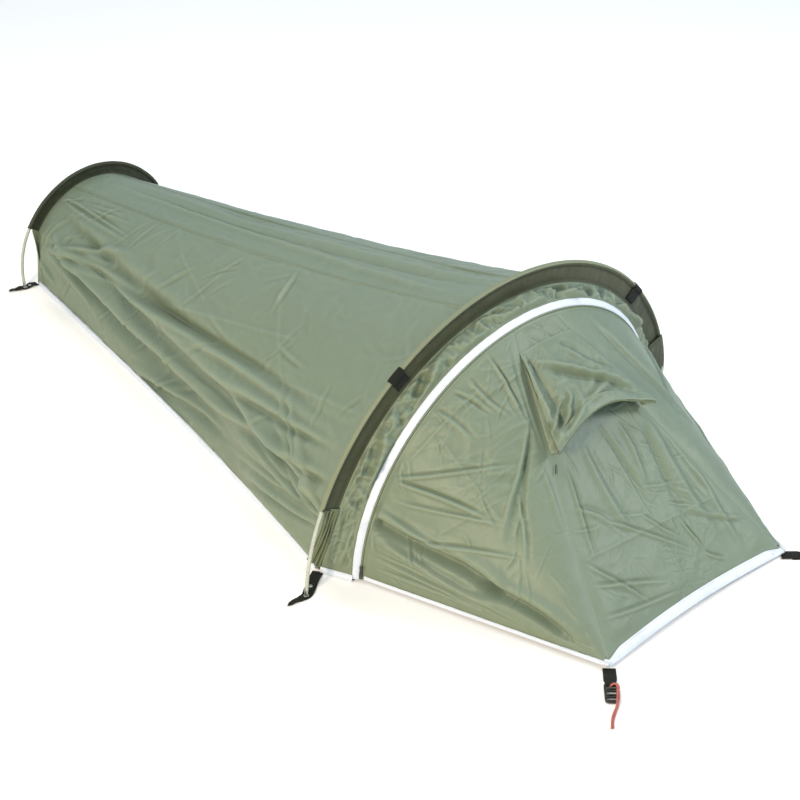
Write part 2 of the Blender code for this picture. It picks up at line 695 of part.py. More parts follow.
MAIN_RAIL = rail(MAIN, SLEEVE_DEPTH_MAIN, CABIN_CORNER, MAIN_SLEEVE_START, SEAM)
FOOT_RAIL = rail(FOOT, SLEEVE_DEPTH_FOOT, FOOT_CORNER, FOOT_SLEEVE_START, -SEAM)
make_cabin()
make_floor()
make_foot_panel()
make_body_trims()
make_front_strip()
make_zip()
make_slider()
make_net_door()
make_door()
make_door_hems()
make_vent()
make_tabs()
make_corner("left", False)
make_corner("right", True)
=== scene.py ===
"""Looks of the hooped bivy tent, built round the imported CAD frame.

Metres, +Z up, door towards -Y. Each panel of fabric is a fine grid over the surface that its CAD
panel holds, with folds, creases and slack added along the surface's normal. An angle on an arch
is counted in degrees from its -X side, over the top, to its +X side.
"""

import json
import math
from typing import NamedTuple

import bmesh
import bpy
import numpy as np
from mathutils import Matrix, Vector


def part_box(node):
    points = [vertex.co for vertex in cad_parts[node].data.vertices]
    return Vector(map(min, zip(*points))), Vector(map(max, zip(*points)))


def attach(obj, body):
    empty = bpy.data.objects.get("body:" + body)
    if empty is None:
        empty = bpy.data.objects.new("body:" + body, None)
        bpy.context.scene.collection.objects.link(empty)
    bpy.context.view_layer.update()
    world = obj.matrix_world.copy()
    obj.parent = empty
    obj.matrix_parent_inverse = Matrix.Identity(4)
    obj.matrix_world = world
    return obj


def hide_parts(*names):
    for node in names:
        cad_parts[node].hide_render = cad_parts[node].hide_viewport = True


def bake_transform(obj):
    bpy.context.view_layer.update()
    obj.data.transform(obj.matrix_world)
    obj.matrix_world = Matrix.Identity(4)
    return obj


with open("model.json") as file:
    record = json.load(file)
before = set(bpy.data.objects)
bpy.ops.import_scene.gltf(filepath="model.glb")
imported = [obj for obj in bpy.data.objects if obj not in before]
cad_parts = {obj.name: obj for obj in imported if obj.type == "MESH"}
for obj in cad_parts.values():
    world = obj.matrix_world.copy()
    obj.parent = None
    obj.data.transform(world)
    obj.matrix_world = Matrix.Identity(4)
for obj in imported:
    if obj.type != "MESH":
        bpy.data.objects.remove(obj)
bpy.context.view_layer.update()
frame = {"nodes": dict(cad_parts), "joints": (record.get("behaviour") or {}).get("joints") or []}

# ---- sizes of the sewn details ------------------------------------------------------------

SIDES = ("left", "right")
UP = (0.0, 0.0, 1.0)
FABRIC = 0.0008              # thickness of the tent fabric
GRID = 0.005                 # spacing of a panel's grid
FINE_GRID = 0.0026           # the same where folds are small
SEAM = 0.004                 # how far a panel stays off the hoop's plane, as in the CAD
SLEEVE_START = {"main": 21.3, "foot": 31.0}
SLEEVE_DEPTH = {"main": 0.050, "foot": 0.035}
SLEEVE_RADIUS = 0.0056       # channel that holds the pole
SIDE_PULL = 0.045            # how far slack fabric pulls in half way along, as a share of width
ROOF_SAG = 0.065             # and how far it dips, as a share of height
ROOF_SEAM = (80.0, 73.0)     # angle of the roof's left seam at the main and foot hoop
CABIN_LENGTH = 1.62
TAPE_SLOPE = math.radians(50)
TAPE_EDGES = (-0.0204, -0.0024)   # the white tape's two edges, counted from the zip's coil
TAPE_FOOT = -3.6             # angle at which the tape reaches the ground
STRIP_FOOT = 1.2             # angle of the strip's foot at the main hoop
DOOR_EDGE = 0.0028           # the door's edge, counted from the coil
RIDGE_ANGLE = 82.0           # where the ridge between two facets of the door meets the zip
DOOR_NORMAL = np.array((0.0, -0.71, 0.70))   # way out of the door's front facet
VENT_TIP = 0.61              # height of the hood's lip on the door's facet, as a share, at its ends
VENT_TOP = 0.93              # and of the hood's top seam
VENT_RISE = 0.055            # how far the lip arches up, as a share
VENT_STAND = 0.048           # how far the lip stands off the door
VENT_END_STAND = 0.7         # and its ends, as a share of that
BAND_ANGLES = (53.5, 137.0)
BAND_WIDTH = 0.040           # of the webbing round the main sleeve
TRIM_HEIGHT = 0.0125         # white tape along the cabin's foot


# ---- measuring the frame ------------------------------------------------------------------

class Arch:
    """A circular arc that stands on the ground and leans towards the door."""

    def __init__(self, radius, centre, base_y, lean):
        self.radius = radius
        self.centre = centre
        self.base_y = base_y
        self.lean = lean

    def point(self, angle, radius=None, ahead=0.0):
        radius = self.radius if radius is None else radius
        turn = np.radians(angle)
        height = self.centre + radius * np.sin(turn)
        x = -radius * np.cos(turn)
        y = self.base_y - math.sin(self.lean) * height - math.cos(self.lean) * ahead
        z = math.cos(self.lean) * height - math.sin(self.lean) * ahead
        return np.stack(np.broadcast_arrays(x, y, z), axis=-1)


def node_points(*names):
    """The corner points of some CAD nodes."""
    return np.concatenate([np.array([v.co for v in frame["nodes"][name].data.vertices]) for name in names])


def arch_through(*names):
    """The arch whose plane and circle fit the points of some CAD nodes."""
    points = node_points(*names)
    slope, base_y = np.polyfit(points[:, 2], points[:, 1], 1)
    lean = math.atan(-slope)
    rise = points[:, 2] / math.cos(lean)
    known = np.stack([2 * rise, np.ones_like(rise)], axis=1)
    centre, rest = np.linalg.lstsq(known, points[:, 0] ** 2 + rise ** 2, rcond=None)[0]
    return Arch(math.sqrt(rest + centre ** 2), centre, base_y, lean)


def joint_place(name):
    found = next(joint for joint in frame["joints"] if joint["name"] == name)
    return np.array(found["pos_m"], float)


def unit(vectors):
    """The same directions at length 1."""
    return vectors / np.linalg.norm(vectors, axis=-1, keepdims=True)


def distances(path):
    """How far along its path each point lies."""
    return np.concatenate([[0.0], np.cumsum(np.linalg.norm(np.diff(path, axis=0), axis=1))])


def flipped(points):
    """The same points on the other side of the tent."""
    return points * np.array((-1.0, 1.0, 1.0))


def everywhere(way, path):
    """One direction for every point of a path."""
    return np.broadcast_to(way, path.shape)


def on_side(side, *grids):
    """Points or directions made for the left side, as they are or flipped to the right one."""
    placed = [flipped(grid) if side == "right" else grid for grid in grids]
    return placed if len(placed) > 1 else placed[0]


MAIN = arch_through(*(f"main_pole_section_{n}" for n in range(1, 6)))
FOOT = arch_through(*(f"foot_pole_section_{n}" for n in range(1, 4)))
COIL = arch_through("zip_coil")
NET = arch_through("net_door_band")
POLE_RADIUS = node_points("main_pole_section_3")[:, 2].max() - MAIN.point(90.0)[2]
DOOR_CORNER = joint_place("door_left_unfold")

floor_points = node_points("floor")
FLOOR_INSET = 0.0035
CABIN_CORNER = floor_points[floor_points[:, 0].argmin()] * (1, 1, 0) - (FLOOR_INSET, 0, 0)
foot_edge = floor_points[floor_points[:, 1] > floor_points[:, 1].max() - 0.001]
FOOT_CORNER = foot_edge[foot_edge[:, 0].argmin()] * (1, 1, 0) - (FLOOR_INSET, 0, 0)


# ---- surfaces the fabric lies on ----------------------------------------------------------

def mix(a, b, share):
    """From a to b by share; share may be a grid."""
    return a + (b - a) * np.asarray(share, float)[..., None]


def rail(arch, name, corner, behind):
    """A panel's edge on a hoop: the sleeve's seam, and straight down to the corner below it."""
    seam_radius = arch.radius + POLE_RADIUS - SLEEVE_DEPTH[name] - 0.0006
    start = SLEEVE_START[name]
    foot_of_rail = corner + np.array((0.0, behind, 0.0))
    top = arch.point(start, seam_radius, -behind)

    def at(angle):
        angle = np.asarray(angle, float)
        low = np.minimum(angle, 180.0 - angle)
        point = np.where((low < start)[..., None], mix(foot_of_rail, top, np.maximum(low, 0.0) / start),
                         arch.point(low, seam_radius, -behind))
        return np.where((angle > 90.0)[..., None], flipped(point), point)

    return at


MAIN_RAIL = rail(MAIN, "main", CABIN_CORNER, SEAM)
FOOT_RAIL = rail(FOOT, "foot", FOOT_CORNER, -SEAM)
FRONT_RAIL = rail(MAIN, "main", CABIN_CORNER, -SEAM)


def cabin_point(angle, along):
    """The cabin's fabric: along 0 at the main hoop and 1 at the foot hoop."""
    point = mix(MAIN_RAIL(angle), FOOT_RAIL(angle), along)
    slack = 4.0 * along * (1.0 - along)
    pull = np.stack(np.broadcast_arrays(1.0 - SIDE_PULL * slack, 1.0, 1.0 - ROOF_SAG * slack), axis=-1)
    return point * pull


def tape_point(angle, across, out=0.0):
    """Beside the zip's coil: across is positive towards the door, out off the tape's face."""
    radius = COIL.radius - math.cos(TAPE_SLOPE) * across + math.sin(TAPE_SLOPE) * out
    ahead = math.sin(TAPE_SLOPE) * across + math.cos(TAPE_SLOPE) * out
    return COIL.point(angle, radius, ahead)


def strip_point(share, across):
    """The front strip: share round the arch, across from the sleeve's seam to the tape."""
    outer = FRONT_RAIL(STRIP_FOOT + (180.0 - 2 * STRIP_FOOT) * share)
    inner = tape_point(TAPE_FOOT + (180.0 - 2 * TAPE_FOOT) * share, TAPE_EDGES[0] - 0.0010)
    return mix(outer, inner, across)


def hem_point(share):
    """The door's front hem; its middle lifts a little."""
    rise = np.sin(np.pi * np.asarray(share, float))
    bow = np.stack(np.broadcast_arrays(0.0, 0.010 * rise, 0.008 * rise), axis=-1)
    return mix(DOOR_CORNER, flipped(DOOR_CORNER), share) + bow


def front_point(share, height, out=0.0):
    """The door's front facet: share from left to right, height from hem to zip."""
    top = tape_point(RIDGE_ANGLE + (180.0 - 2 * RIDGE_ANGLE) * share, DOOR_EDGE)
    return mix(hem_point(share), top, height) + np.asarray(out)[..., None] * DOOR_NORMAL


def side_point(angle, height):
    """The door's left facet: straight lines fan out from the staked corner to the zip."""
    return mix(DOOR_CORNER, tape_point(angle, DOOR_EDGE), height)


def hood_point(share, drop, beyond=0.0, lift=0.0):
    """The vent hood: drop from 0 at its top seam to 1 at its arched lip."""
    arch = np.sin(np.pi * np.clip(share, 0.0, 1.0))
    lip = VENT_TIP + VENT_RISE * arch
    stand = VENT_STAND * np.maximum(drop, 0.0) ** 1.3 * (VENT_END_STAND + (1.0 - VENT_END_STAND) * arch)
    return front_point(share, VENT_TOP + (lip - VENT_TOP) * drop - beyond, 0.004 + stand + lift)


# ---- folds, creases and crinkle -----------------------------------------------------------

def ease(value, low, high):
    """0 below low, 1 above high, smooth between."""
    t = np.clip((value - low) / (high - low), 0.0, 1.0)
    return t * t * (3.0 - 2.0 * t)


def lattice(ix, iy, seed):
    """A repeatable value from -1 to 1 at each whole-numbered point."""
    mixed = (ix * 73856093) ^ (iy * 19349663) ^ (seed * 83492791)
    mixed = ((mixed ^ (mixed >> 13)) * 1274126177) & 0x7FFFFFFF
    mixed = mixed ^ (mixed >> 15)
    return (mixed & 0xFFFF) / 32767.5 - 1.0


def noise(x, y, seed):
    """Smooth values from -1 to 1 that change over a distance of 1."""
    ix = np.floor(x).astype(np.int64)
    iy = np.floor(y).astype(np.int64)
    fx = ease(x - ix, 0.0, 1.0)
    fy = ease(y - iy, 0.0, 1.0)
    low = lattice(ix, iy, seed) * (1 - fx) + lattice(ix + 1, iy, seed) * fx
    high = lattice(ix, iy + 1, seed) * (1 - fx) + lattice(ix + 1, iy + 1, seed) * fx
    return low * (1 - fy) + high * fy


def swell(x, y, size, seed, octaves=3):
    """Soft rolling noise with features of about this size."""
    total = np.zeros(np.broadcast(x, y).shape)
    for octave in range(octaves):
        scale = 2.0 ** octave / size
        turn = 0.7 * octave + 0.3
        a = (x * math.cos(turn) - y * math.sin(turn)) * scale
        b = (x * math.sin(turn) + y * math.cos(turn)) * scale
        total += noise(a, b, seed + octave) / 2.0 ** octave
    return total


def crinkle(x, y, size, seed):
    """Sharp-edged creasing, as in fabric that was packed: flat facets between crisp lines."""
    bent_x = x + 0.35 * size * noise(x / size, y / size, seed + 11)
    bent_y = y + 0.35 * size * noise(x / size + 5.2, y / size + 1.3, seed + 12)
    total = np.zeros(np.broadcast(x, y).shape)
    for octave in range(2):
        scale = 1.7 ** octave / size
        turn = 0.9 * octave + 0.4
        a = (bent_x * math.cos(turn) - bent_y * math.sin(turn)) * scale
        b = (bent_x * math.sin(turn) + bent_y * math.cos(turn)) * scale
        total += (0.5 - np.abs(noise(a, b, seed + 20 + octave))) / 1.7 ** octave
    return total


def veins(x, y, size, seed):
    """A web of thin raised lines with flat cells between, as packing leaves in coated cloth."""
    bent_x = x + 0.5 * size * noise(x / size, y / size, seed + 1)
    bent_y = y + 0.5 * size * noise(x / size + 3.7, y / size + 8.1, seed + 2)
    line = np.abs(noise(bent_x / size, bent_y / size, seed + 3))
    patchy = 0.55 + 0.45 * noise(x / (2.6 * size), y / (2.6 * size), seed + 4)
    return np.exp(-line / 0.14) * patchy


def net(first, second):
    return np.meshgrid(first, second, indexing="ij")


class Cloth:
    """A grid of points on a surface, with its normals and lengths, that folds are added to."""

    def __init__(self, surface, first, second):
        self.first = first
        self.second = second
        self.surface = surface
        self.points = surface(self.first, self.second)
        down = np.gradient(self.points, axis=0)
        along = np.gradient(self.points, axis=1)
        normal = np.cross(down, along)
        self.normal = normal / np.maximum(np.linalg.norm(normal, axis=-1, keepdims=True), 1e-12)
        self.s = self.lengths(down, 0)
        self.t = self.lengths(along, 1)
        self.height = np.zeros(self.first.shape)

    def lengths(self, steps, axis):
        """Distance in metres from the grid's first edge."""
        size = np.linalg.norm(steps, axis=-1)
        total = np.cumsum(size, axis=axis)
        return total - np.take(total, [0], axis=axis)

    def outward(self, towards):
        """Turn the normals to point the way of a vector."""
        if (self.normal @ np.array(towards, float)).mean() < 0:
            self.normal = -self.normal
        return self

    def edges(self, width, sides="nsew", start=0.0):
        """0 at the sewn edges and 1 further in than width: n and s end the first way, w and e the second."""
        mask = np.ones(self.first.shape)
        if "n" in sides:
            mask *= ease(self.s, start, width)
        if "s" in sides:
            mask *= ease(self.s.max(axis=0, keepdims=True) - self.s, start, width)
        if "w" in sides:
            mask *= ease(self.t, start, width)
        if "e" in sides:
            mask *= ease(self.t.max(axis=1, keepdims=True) - self.t, start, width)
        return mask

    def beside(self, start, end):
        """Where each point is along a line, as a share of its length, and how far to one side of it."""
        a = self.surface(np.array(start[0]), np.array(start[1]))
        b = self.surface(np.array(end[0]), np.array(end[1]))
        length = np.linalg.norm(b - a)
        run = (b - a) / length
        away = self.points - a
        return (away @ run) / length, (away * np.cross(self.normal, run)).sum(axis=-1)

    def fold(self, start, end, width, height, spread=1.0, skew=0.0, tails=(0.28, 0.42)):
        """A fold from one place to another: width at its start, spread times that at its end."""
        t, side = self.beside(start, end)
        side = side + 0.7 * width * np.sin(4.4 * t + 9.0 * start[0] + 5.0 * start[1])
        local = width * (1.0 + (spread - 1.0) * np.clip(t, 0.0, 1.0))
        shape = np.exp(-(side / local) ** 2) - skew * np.exp(-((side - 1.5 * local) / local) ** 2)
        ends = ease(t, -0.02, tails[0]) * (1.0 - ease(t, 1.0 - tails[1], 1.02))
        self.height += height * shape * ends
        return self

    def crease(self, start, end, width, height):
        """A crisp packing crease: a sharp line that falls off on both sides."""
        t, side = self.beside(start, end)
        ends = ease(t, 0.0, 0.05) * (1.0 - ease(t, 0.9, 1.0))
        self.height += height * np.exp(-np.abs(side) / width) * ends
        return self

    def strew(self, seed, count, turn, width, height, length=(0.03, 0.11), wander=28.0):
        """Short crisp creases all over the panel, most of them near one direction in degrees."""
        rng = np.random.default_rng(seed)
        rows, columns = self.first.shape
        for _ in range(count):
            i = int(rng.integers(2, rows - 2))
            j = int(rng.integers(2, columns - 2))
            along = unit(self.points[i, j + 1] - self.points[i, j - 1])
            aside = np.cross(self.normal[i, j], along)
            angle = math.radians(rng.normal(turn, wander))
            run = along * math.cos(angle) + aside * math.sin(angle)
            away = self.points - self.points[i, j]
            t = (away @ run) / rng.uniform(*length)
            side = away @ np.cross(self.normal[i, j], run)
            side = side + 0.004 * np.sin(t * 4.0 + rng.uniform(0.0, 6.0))
            local = width * rng.uniform(0.7, 1.5)
            shape = np.exp(-(side / local) ** 2) - 0.8 * np.exp(-((side - 1.6 * local) / local) ** 2)
            ends = np.clip(1.0 - (2.0 * t) ** 2, 0.0, 1.0) ** 1.5
            self.height += height * rng.uniform(0.4, 1.2) * shape * ends
        return self

    def add(self, height):
        self.height += height
        return self

    def shaped(self, mask=1.0):
        """The points with the folds applied."""
        return self.points + self.normal * (self.height * mask)[..., None]


# ---- building meshes ----------------------------------------------------------------------

class Look(NamedTuple):
    """A material, and the finish of the record that it stands for."""

    material: bpy.types.Material
    slot: str


def piece(name, body, look, *nodes):
    """Give an object the material of its look, attach it to the body it rides on, and hide the CAD nodes it
    stands for.
    """
    obj = bpy.data.objects[name]
    obj.data.materials.clear()
    obj.data.materials.append(look.material)
    if body:
        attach(obj, body)
    if nodes:
        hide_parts(*nodes)
    return obj


def grid_mesh(name, points, closed_rows=False, closed_columns=False, keep=None):
    """A mesh over a grid of points, smooth, with a map of its real lengths for the weave."""
    rows, columns = points.shape[:2]
    i, j = np.meshgrid(np.arange(rows if closed_rows else rows - 1),
                       np.arange(columns if closed_columns else columns - 1), indexing="ij")
    i2 = (i + 1) % rows
    j2 = (j + 1) % columns
    quads = np.stack([i * columns + j, i * columns + j2, i2 * columns + j2, i2 * columns + j], axis=-1)
    if keep is not None:
        quads = quads[keep]
    quads = quads.reshape(-1, 4)
    used = np.unique(quads)
    new_index = np.full(rows * columns, -1)
    new_index[used] = np.arange(len(used))
    mesh = bpy.data.meshes.new(name)
    mesh.from_pydata(points.reshape(-1, 3)[used].tolist(), [], new_index[quads].tolist())
    along_s = np.zeros((rows, columns))
    along_t = np.zeros((rows, columns))
    along_s[1:] = np.cumsum(np.linalg.norm(np.diff(points, axis=0), axis=-1), axis=0)
    along_t[:, 1:] = np.cumsum(np.linalg.norm(np.diff(points, axis=1), axis=-1), axis=1)
    layer = mesh.uv_layers.new(name="weave")
    corners = np.empty(len(mesh.loops), np.int64)
    mesh.loops.foreach_get("vertex_index", corners)
    flat = np.stack([along_s.reshape(-1)[used][corners], along_t.reshape(-1)[used][corners]], axis=-1)
    layer.data.foreach_set("uv", flat.astype(np.float32).ravel())
    mesh.shade_smooth()
    return mesh


def place(name, mesh):
    obj = bpy.data.objects.new(name, mesh)
    bpy.context.scene.collection.objects.link(obj)
    return obj


def fabric(name, points, body, look, nodes=(), thickness=FABRIC, keep=None):
    """A panel of fabric over a grid of points."""
    obj = place(name, grid_mesh(name, points, keep=keep))
    solid = obj.modifiers.new("thickness", "SOLIDIFY")
    solid.thickness = thickness
    solid.offset = 0.0
    return piece(name, body, look, *nodes)


def spaced(start, end, length, spacing):
    """Values from start to end, as many as the length in metres needs at this spacing."""
    return np.linspace(start, end, max(int(math.ceil(length / spacing)), 1) + 1)


# ---- finishes -----------------------------------------------------------------------------

class Finish:
    """A node material under construction: a Principled shader and small helpers to feed it."""

    def __init__(self, name, roughness, metallic=0.0):
        self.material = bpy.data.materials.new(name)
        self.material.use_nodes = True
        self.tree = self.material.node_tree
        self.shader = self.tree.nodes["Principled BSDF"]
        self.shader.inputs["Roughness"].default_value = roughness
        self.shader.inputs["Metallic"].default_value = metallic
        self.place = self.node("ShaderNodeTexCoord").outputs["Object"]

    def node(self, kind, **values):
        made = self.tree.nodes.new(kind)
        for name, value in values.items():
            setattr(made, name, value)
        return made

    def link(self, output, target):
        self.tree.links.new(output, target)

    def math(self, operation, a, b=0.0):
        made = self.node("ShaderNodeMath", operation=operation)
        for slot, value in zip(made.inputs, (a, b)):
            if isinstance(value, float):
                slot.default_value = value
            else:
                self.link(value, slot)
        return made.outputs[0]

    def noise(self, scale, detail=3.0, roughness=0.5, place=None):
        made = self.node("ShaderNodeTexNoise")
        made.inputs["Scale"].default_value = scale
        made.inputs["Detail"].default_value = detail
        made.inputs["Roughness"].default_value = roughness
        self.link(place or self.place, made.inputs["Vector"])
        return made.outputs["Fac"]

    def ramp(self, value, low, high, start=0.3, end=0.7):
        """Colour that goes from low to high as a value goes from start to end."""
        made = self.node("ShaderNodeValToRGB")
        made.color_ramp.elements[0].position = start
        made.color_ramp.elements[0].color = (*low, 1.0)
        made.color_ramp.elements[1].position = end
        made.color_ramp.elements[1].color = (*high, 1.0)
        self.link(value, made.inputs["Fac"])
        return made.outputs["Color"]

    def blend(self, share, a, b):
        made = self.node("ShaderNodeMix", data_type="RGBA")
        for slot, value in ((made.inputs["Factor"], share), (made.inputs[6], a), (made.inputs[7], b)):
            if isinstance(value, tuple):
                slot.default_value = (*value, 1.0)
            elif isinstance(value, float):
                slot.default_value = value
            else:
                self.link(value, slot)
        return made.outputs[2]

    def times(self, a, b):
        """One colour multiplied by another."""
        made = self.node("ShaderNodeMix", data_type="RGBA", blend_type="MULTIPLY")
        made.inputs["Factor"].default_value = 1.0
        self.link(a, made.inputs[6])
        self.link(b, made.inputs[7])
        return made.outputs[2]

    def weave_map(self):
        """The two directions of the panel's own length map, in metres."""
        split = self.node("ShaderNodeSeparateXYZ")
        self.link(self.node("ShaderNodeUVMap", uv_map="weave").outputs["UV"], split.inputs[0])
        return split.outputs[:2]

    def threads(self, pitch_s, pitch_t=None):
        """Height of a plain weave, 0 to 1."""
        waves = []
        for output, pitch in zip(self.weave_map(), (pitch_s, pitch_t or pitch_s)):
            turn = self.math("MULTIPLY", output, 2 * math.pi / pitch)
            waves.append(self.math("SINE", turn))
        product = self.math("MULTIPLY", waves[0], waves[1])
        return self.math("ADD", self.math("MULTIPLY", product, 0.5), 0.5)

    def ribs(self, pitch):
        """Height of the ribs of webbing or binding that run one way, 0 to 1."""
        turn = self.math("MULTIPLY", self.weave_map()[1], 2 * math.pi / pitch)
        return self.math("ADD", self.math("MULTIPLY", self.math("SINE", turn), 0.5), 0.5)

    def bump(self, height, distance, strength=1.0, before=None):
        made = self.node("ShaderNodeBump")
        made.inputs["Strength"].default_value = strength
        made.inputs["Distance"].default_value = distance
        self.link(height, made.inputs["Height"])
        if before is not None:
            self.link(before, made.inputs["Normal"])
        return made.outputs["Normal"]

    def crumple(self, before):
        """Thin crease lines in patches, where the cells of a warped pattern meet."""
        warp = self.node("ShaderNodeTexNoise")
        warp.inputs["Scale"].default_value = 9.0
        self.link(self.place, warp.inputs["Vector"])
        moved = self.node("ShaderNodeMix", data_type="VECTOR")
        moved.inputs["Factor"].default_value = 0.09
        self.link(self.place, moved.inputs[4])
        self.link(warp.outputs["Color"], moved.inputs[5])
        normal = before
        for scale, distance in ((15.0, 0.0011), (34.0, 0.0006)):
            cells = self.node("ShaderNodeTexVoronoi", feature="DISTANCE_TO_EDGE")
            cells.inputs["Scale"].default_value = scale
            self.link(moved.outputs[1], cells.inputs["Vector"])
            line = self.math("MINIMUM", self.math("MULTIPLY", cells.outputs["Distance"], 9.0), 1.0)
            patch = self.math("MAXIMUM", self.math("SUBTRACT", self.noise(6.0, 2.0), 0.45), 0.0)
            normal = self.bump(self.math("MULTIPLY", self.math("MULTIPLY", patch, 6.0), line), distance, 0.5,
                               before=normal)
        return normal

    def finish(self, colour, normal=None, roughness=None):
        self.link(colour, self.shader.inputs["Base Color"])
        if normal is not None:
            self.link(normal, self.shader.inputs["Normal"])
        if roughness is not None:
            self.link(roughness, self.shader.inputs["Roughness"])
        return self.material

    def mix_with(self, other, share):
        """The finished surface mixed with another shader, by a number or by a node's output."""
        both = self.node("ShaderNodeMixShader")
        if isinstance(share, float):
            both.inputs[0].default_value = share
        else:
            self.link(share, both.inputs[0])
        self.link(self.shader.outputs[0], both.inputs[1])
        self.link(other.outputs[0], both.inputs[2])
        self.link(both.outputs[0], self.tree.nodes["Material Output"].inputs["Surface"])
        return self.material


def scaled(colour, factor):
    return tuple(channel * factor for channel in colour)


def tent_fabric(name, colour, cool, roughness=0.48, pitch=0.0009, glow=0.10):
    """Coated plain-weave fabric: cooler where it faces the sky, as a painted sky reflection, and paler on
    crests than in hollows, as painted highlight and shade.
    """
    make = Finish(name, roughness)
    tone = make.ramp(make.noise(2.2, 4.0), scaled(colour, 0.93), scaled(colour, 1.06))
    mottle = make.ramp(make.noise(55.0, 5.0, 0.6), (0.95, 0.95, 0.95), (1.04, 1.04, 1.04))
    facing = make.node("ShaderNodeSeparateXYZ")
    make.link(make.node("ShaderNodeNewGeometry").outputs["Normal"], facing.inputs[0])
    # painted sky reflection: the colour turns to the cool tint where the surface faces up
    sky_reflection_share = make.math("MULTIPLY", make.math("MAXIMUM", facing.outputs[2], 0.0), 0.85)
    plain = make.blend(sky_reflection_share, make.times(tone, mottle), cool)
    # painted highlight on the crests of folds and painted shade in their hollows, read from how pointed the
    # mesh is
    wear_and_painted_light = make.ramp(make.node("ShaderNodeNewGeometry").outputs["Pointiness"], (0.74, 0.77, 0.74),
                     (1.12, 1.13, 1.14), 0.462, 0.538)
    shade = make.times(plain, wear_and_painted_light)
    make.shader.inputs["Sheen Weight"].default_value = 0.06
    make.shader.inputs["Sheen Roughness"].default_value = 0.45
    make.shader.inputs["Sheen Tint"].default_value = (0.90, 0.96, 0.88, 1.0)
    make.shader.inputs["Specular IOR Level"].default_value = 0.42
    wear = make.bump(make.noise(16.0, 6.0, 0.65), 0.0022, 0.55)
    normal = make.bump(make.threads(pitch), 0.00005, 0.5, before=make.crumple(wear))
    rough = make.math("ADD", make.math("MULTIPLY", make.noise(7.0, 3.0), 0.16), roughness - 0.08)
    make.finish(shade, normal, rough)
    let_through = make.node("ShaderNodeBsdfTranslucent")
    make.link(shade, let_through.inputs["Color"])
    return make.mix_with(let_through, glow)


def tape_finish(name, colour, pitch=0.0012):
    """Woven white binding: fine cross ribs and a little soiling."""
    make = Finish(name, 0.62)
    dirt = make.ramp(make.noise(9.0, 5.0, 0.6), scaled(colour, 0.86), colour, 0.32, 0.5)
    make.shader.inputs["Sheen Weight"].default_value = 0.2
    fuzz = make.bump(make.noise(260.0, 2.0), 0.0002, 0.4)
    return make.finish(dirt, make.bump(make.ribs(pitch), 0.00012, 0.7, before=fuzz))


def webbing_finish(name, colour, pitch=0.0022):
    """Heavy woven strap: chevron ribs, dusty high spots."""
    make = Finish(name, 0.78)
    weave = make.threads(pitch, pitch * 1.6)
    dust = make.ramp(make.math("MULTIPLY", weave, make.noise(60.0, 4.0)), scaled(colour, 0.75),
                     scaled(colour, 1.7), 0.1, 0.75)
    make.shader.inputs["Sheen Weight"].default_value = 0.03
    make.shader.inputs["Specular IOR Level"].default_value = 0.25
    return make.finish(dust, make.bump(weave, 0.0004, 0.8))


def plastic_finish(name, colour, roughness=0.34):
    """Moulded plastic: fine grain, edges rubbed a little lighter."""
    make = Finish(name, roughness)
    wear_and_painted_light = make.ramp(make.node("ShaderNodeNewGeometry").outputs["Pointiness"], colour,
                     scaled(colour, 3.2), 0.52, 0.62)
    rough = make.math("ADD", make.math("MULTIPLY", make.noise(120.0, 3.0), 0.25), roughness - 0.1)
    return make.finish(wear_and_painted_light, make.bump(make.noise(900.0, 2.0), 0.00008, 0.5), rough)


def pole_finish(name, colour, metallic, roughness):
    """Drawn tube: long faint streaks and a few scuffs."""
    make = Finish(name, roughness, metallic)
    streak = make.ramp(make.noise(35.0, 6.0, 0.7), scaled(colour, 0.82), scaled(colour, 1.1))
    rough = make.math("ADD", make.math("MULTIPLY", make.noise(400.0, 2.0), 0.2), roughness - 0.08)
    return make.finish(streak, make.bump(make.noise(300.0, 4.0), 0.00005, 0.5), rough)


def cord_finish(name, colour):
    """Braided cord: slanting strands with darker gaps, painted shade between the strands."""
    make = Finish(name, 0.72)
    weave = make.threads(0.0022, 0.0016)
    shade = make.ramp(weave, scaled(colour, 0.55), scaled(colour, 1.15), 0.15, 0.7)
    return make.finish(shade, make.bump(weave, 0.0004, 0.9))


def net_finish(name, colour, pitch=0.0016):
    """Insect net: thin threads with open holes between them."""
    make = Finish(name, 0.7)
    lines = [make.math("ABSOLUTE", make.math("SINE", make.math("MULTIPLY", way, math.pi / pitch)))
             for way in make.weave_map()]
    hole = make.math("GREATER_THAN", make.math("MINIMUM", lines[0], lines[1]), 0.42)
    make.finish(make.ramp(make.noise(30.0), scaled(colour, 0.8), scaled(colour, 1.3)))
    return make.mix_with(make.node("ShaderNodeBsdfTransparent"), hole)


# the second colour of each tent fabric is the cool tint of its painted sky reflection
SAGE = Look(
    tent_fabric("sage_coated_fabric", (0.212, 0.253, 0.166), (0.193, 0.254, 0.200)),
    "sage_fabric")
SLEEVE_OLIVE = Look(
    tent_fabric("olive_sleeve_fabric", (0.052, 0.058, 0.027), (0.058, 0.066, 0.036), 0.58, glow=0.02),
    "olive_fabric")
# a paler copy of the sleeve fabric, laid over the pole's crest as a painted highlight
SLEEVE_RIM_HIGHLIGHT = Look(
    tent_fabric("sleeve_rim_fabric", (0.215, 0.235, 0.140), (0.175, 0.205, 0.135), 0.50, glow=0.05),
    "sage_fabric")
# the sleeve's olive darkened as painted shade, for the foot hoop's sleeve and the sleeve hems
SHADED_OLIVE = Look(
    tent_fabric("dark_sleeve_fabric", (0.026, 0.032, 0.016), (0.030, 0.038, 0.022), 0.58, glow=0.02),
    "olive_fabric")
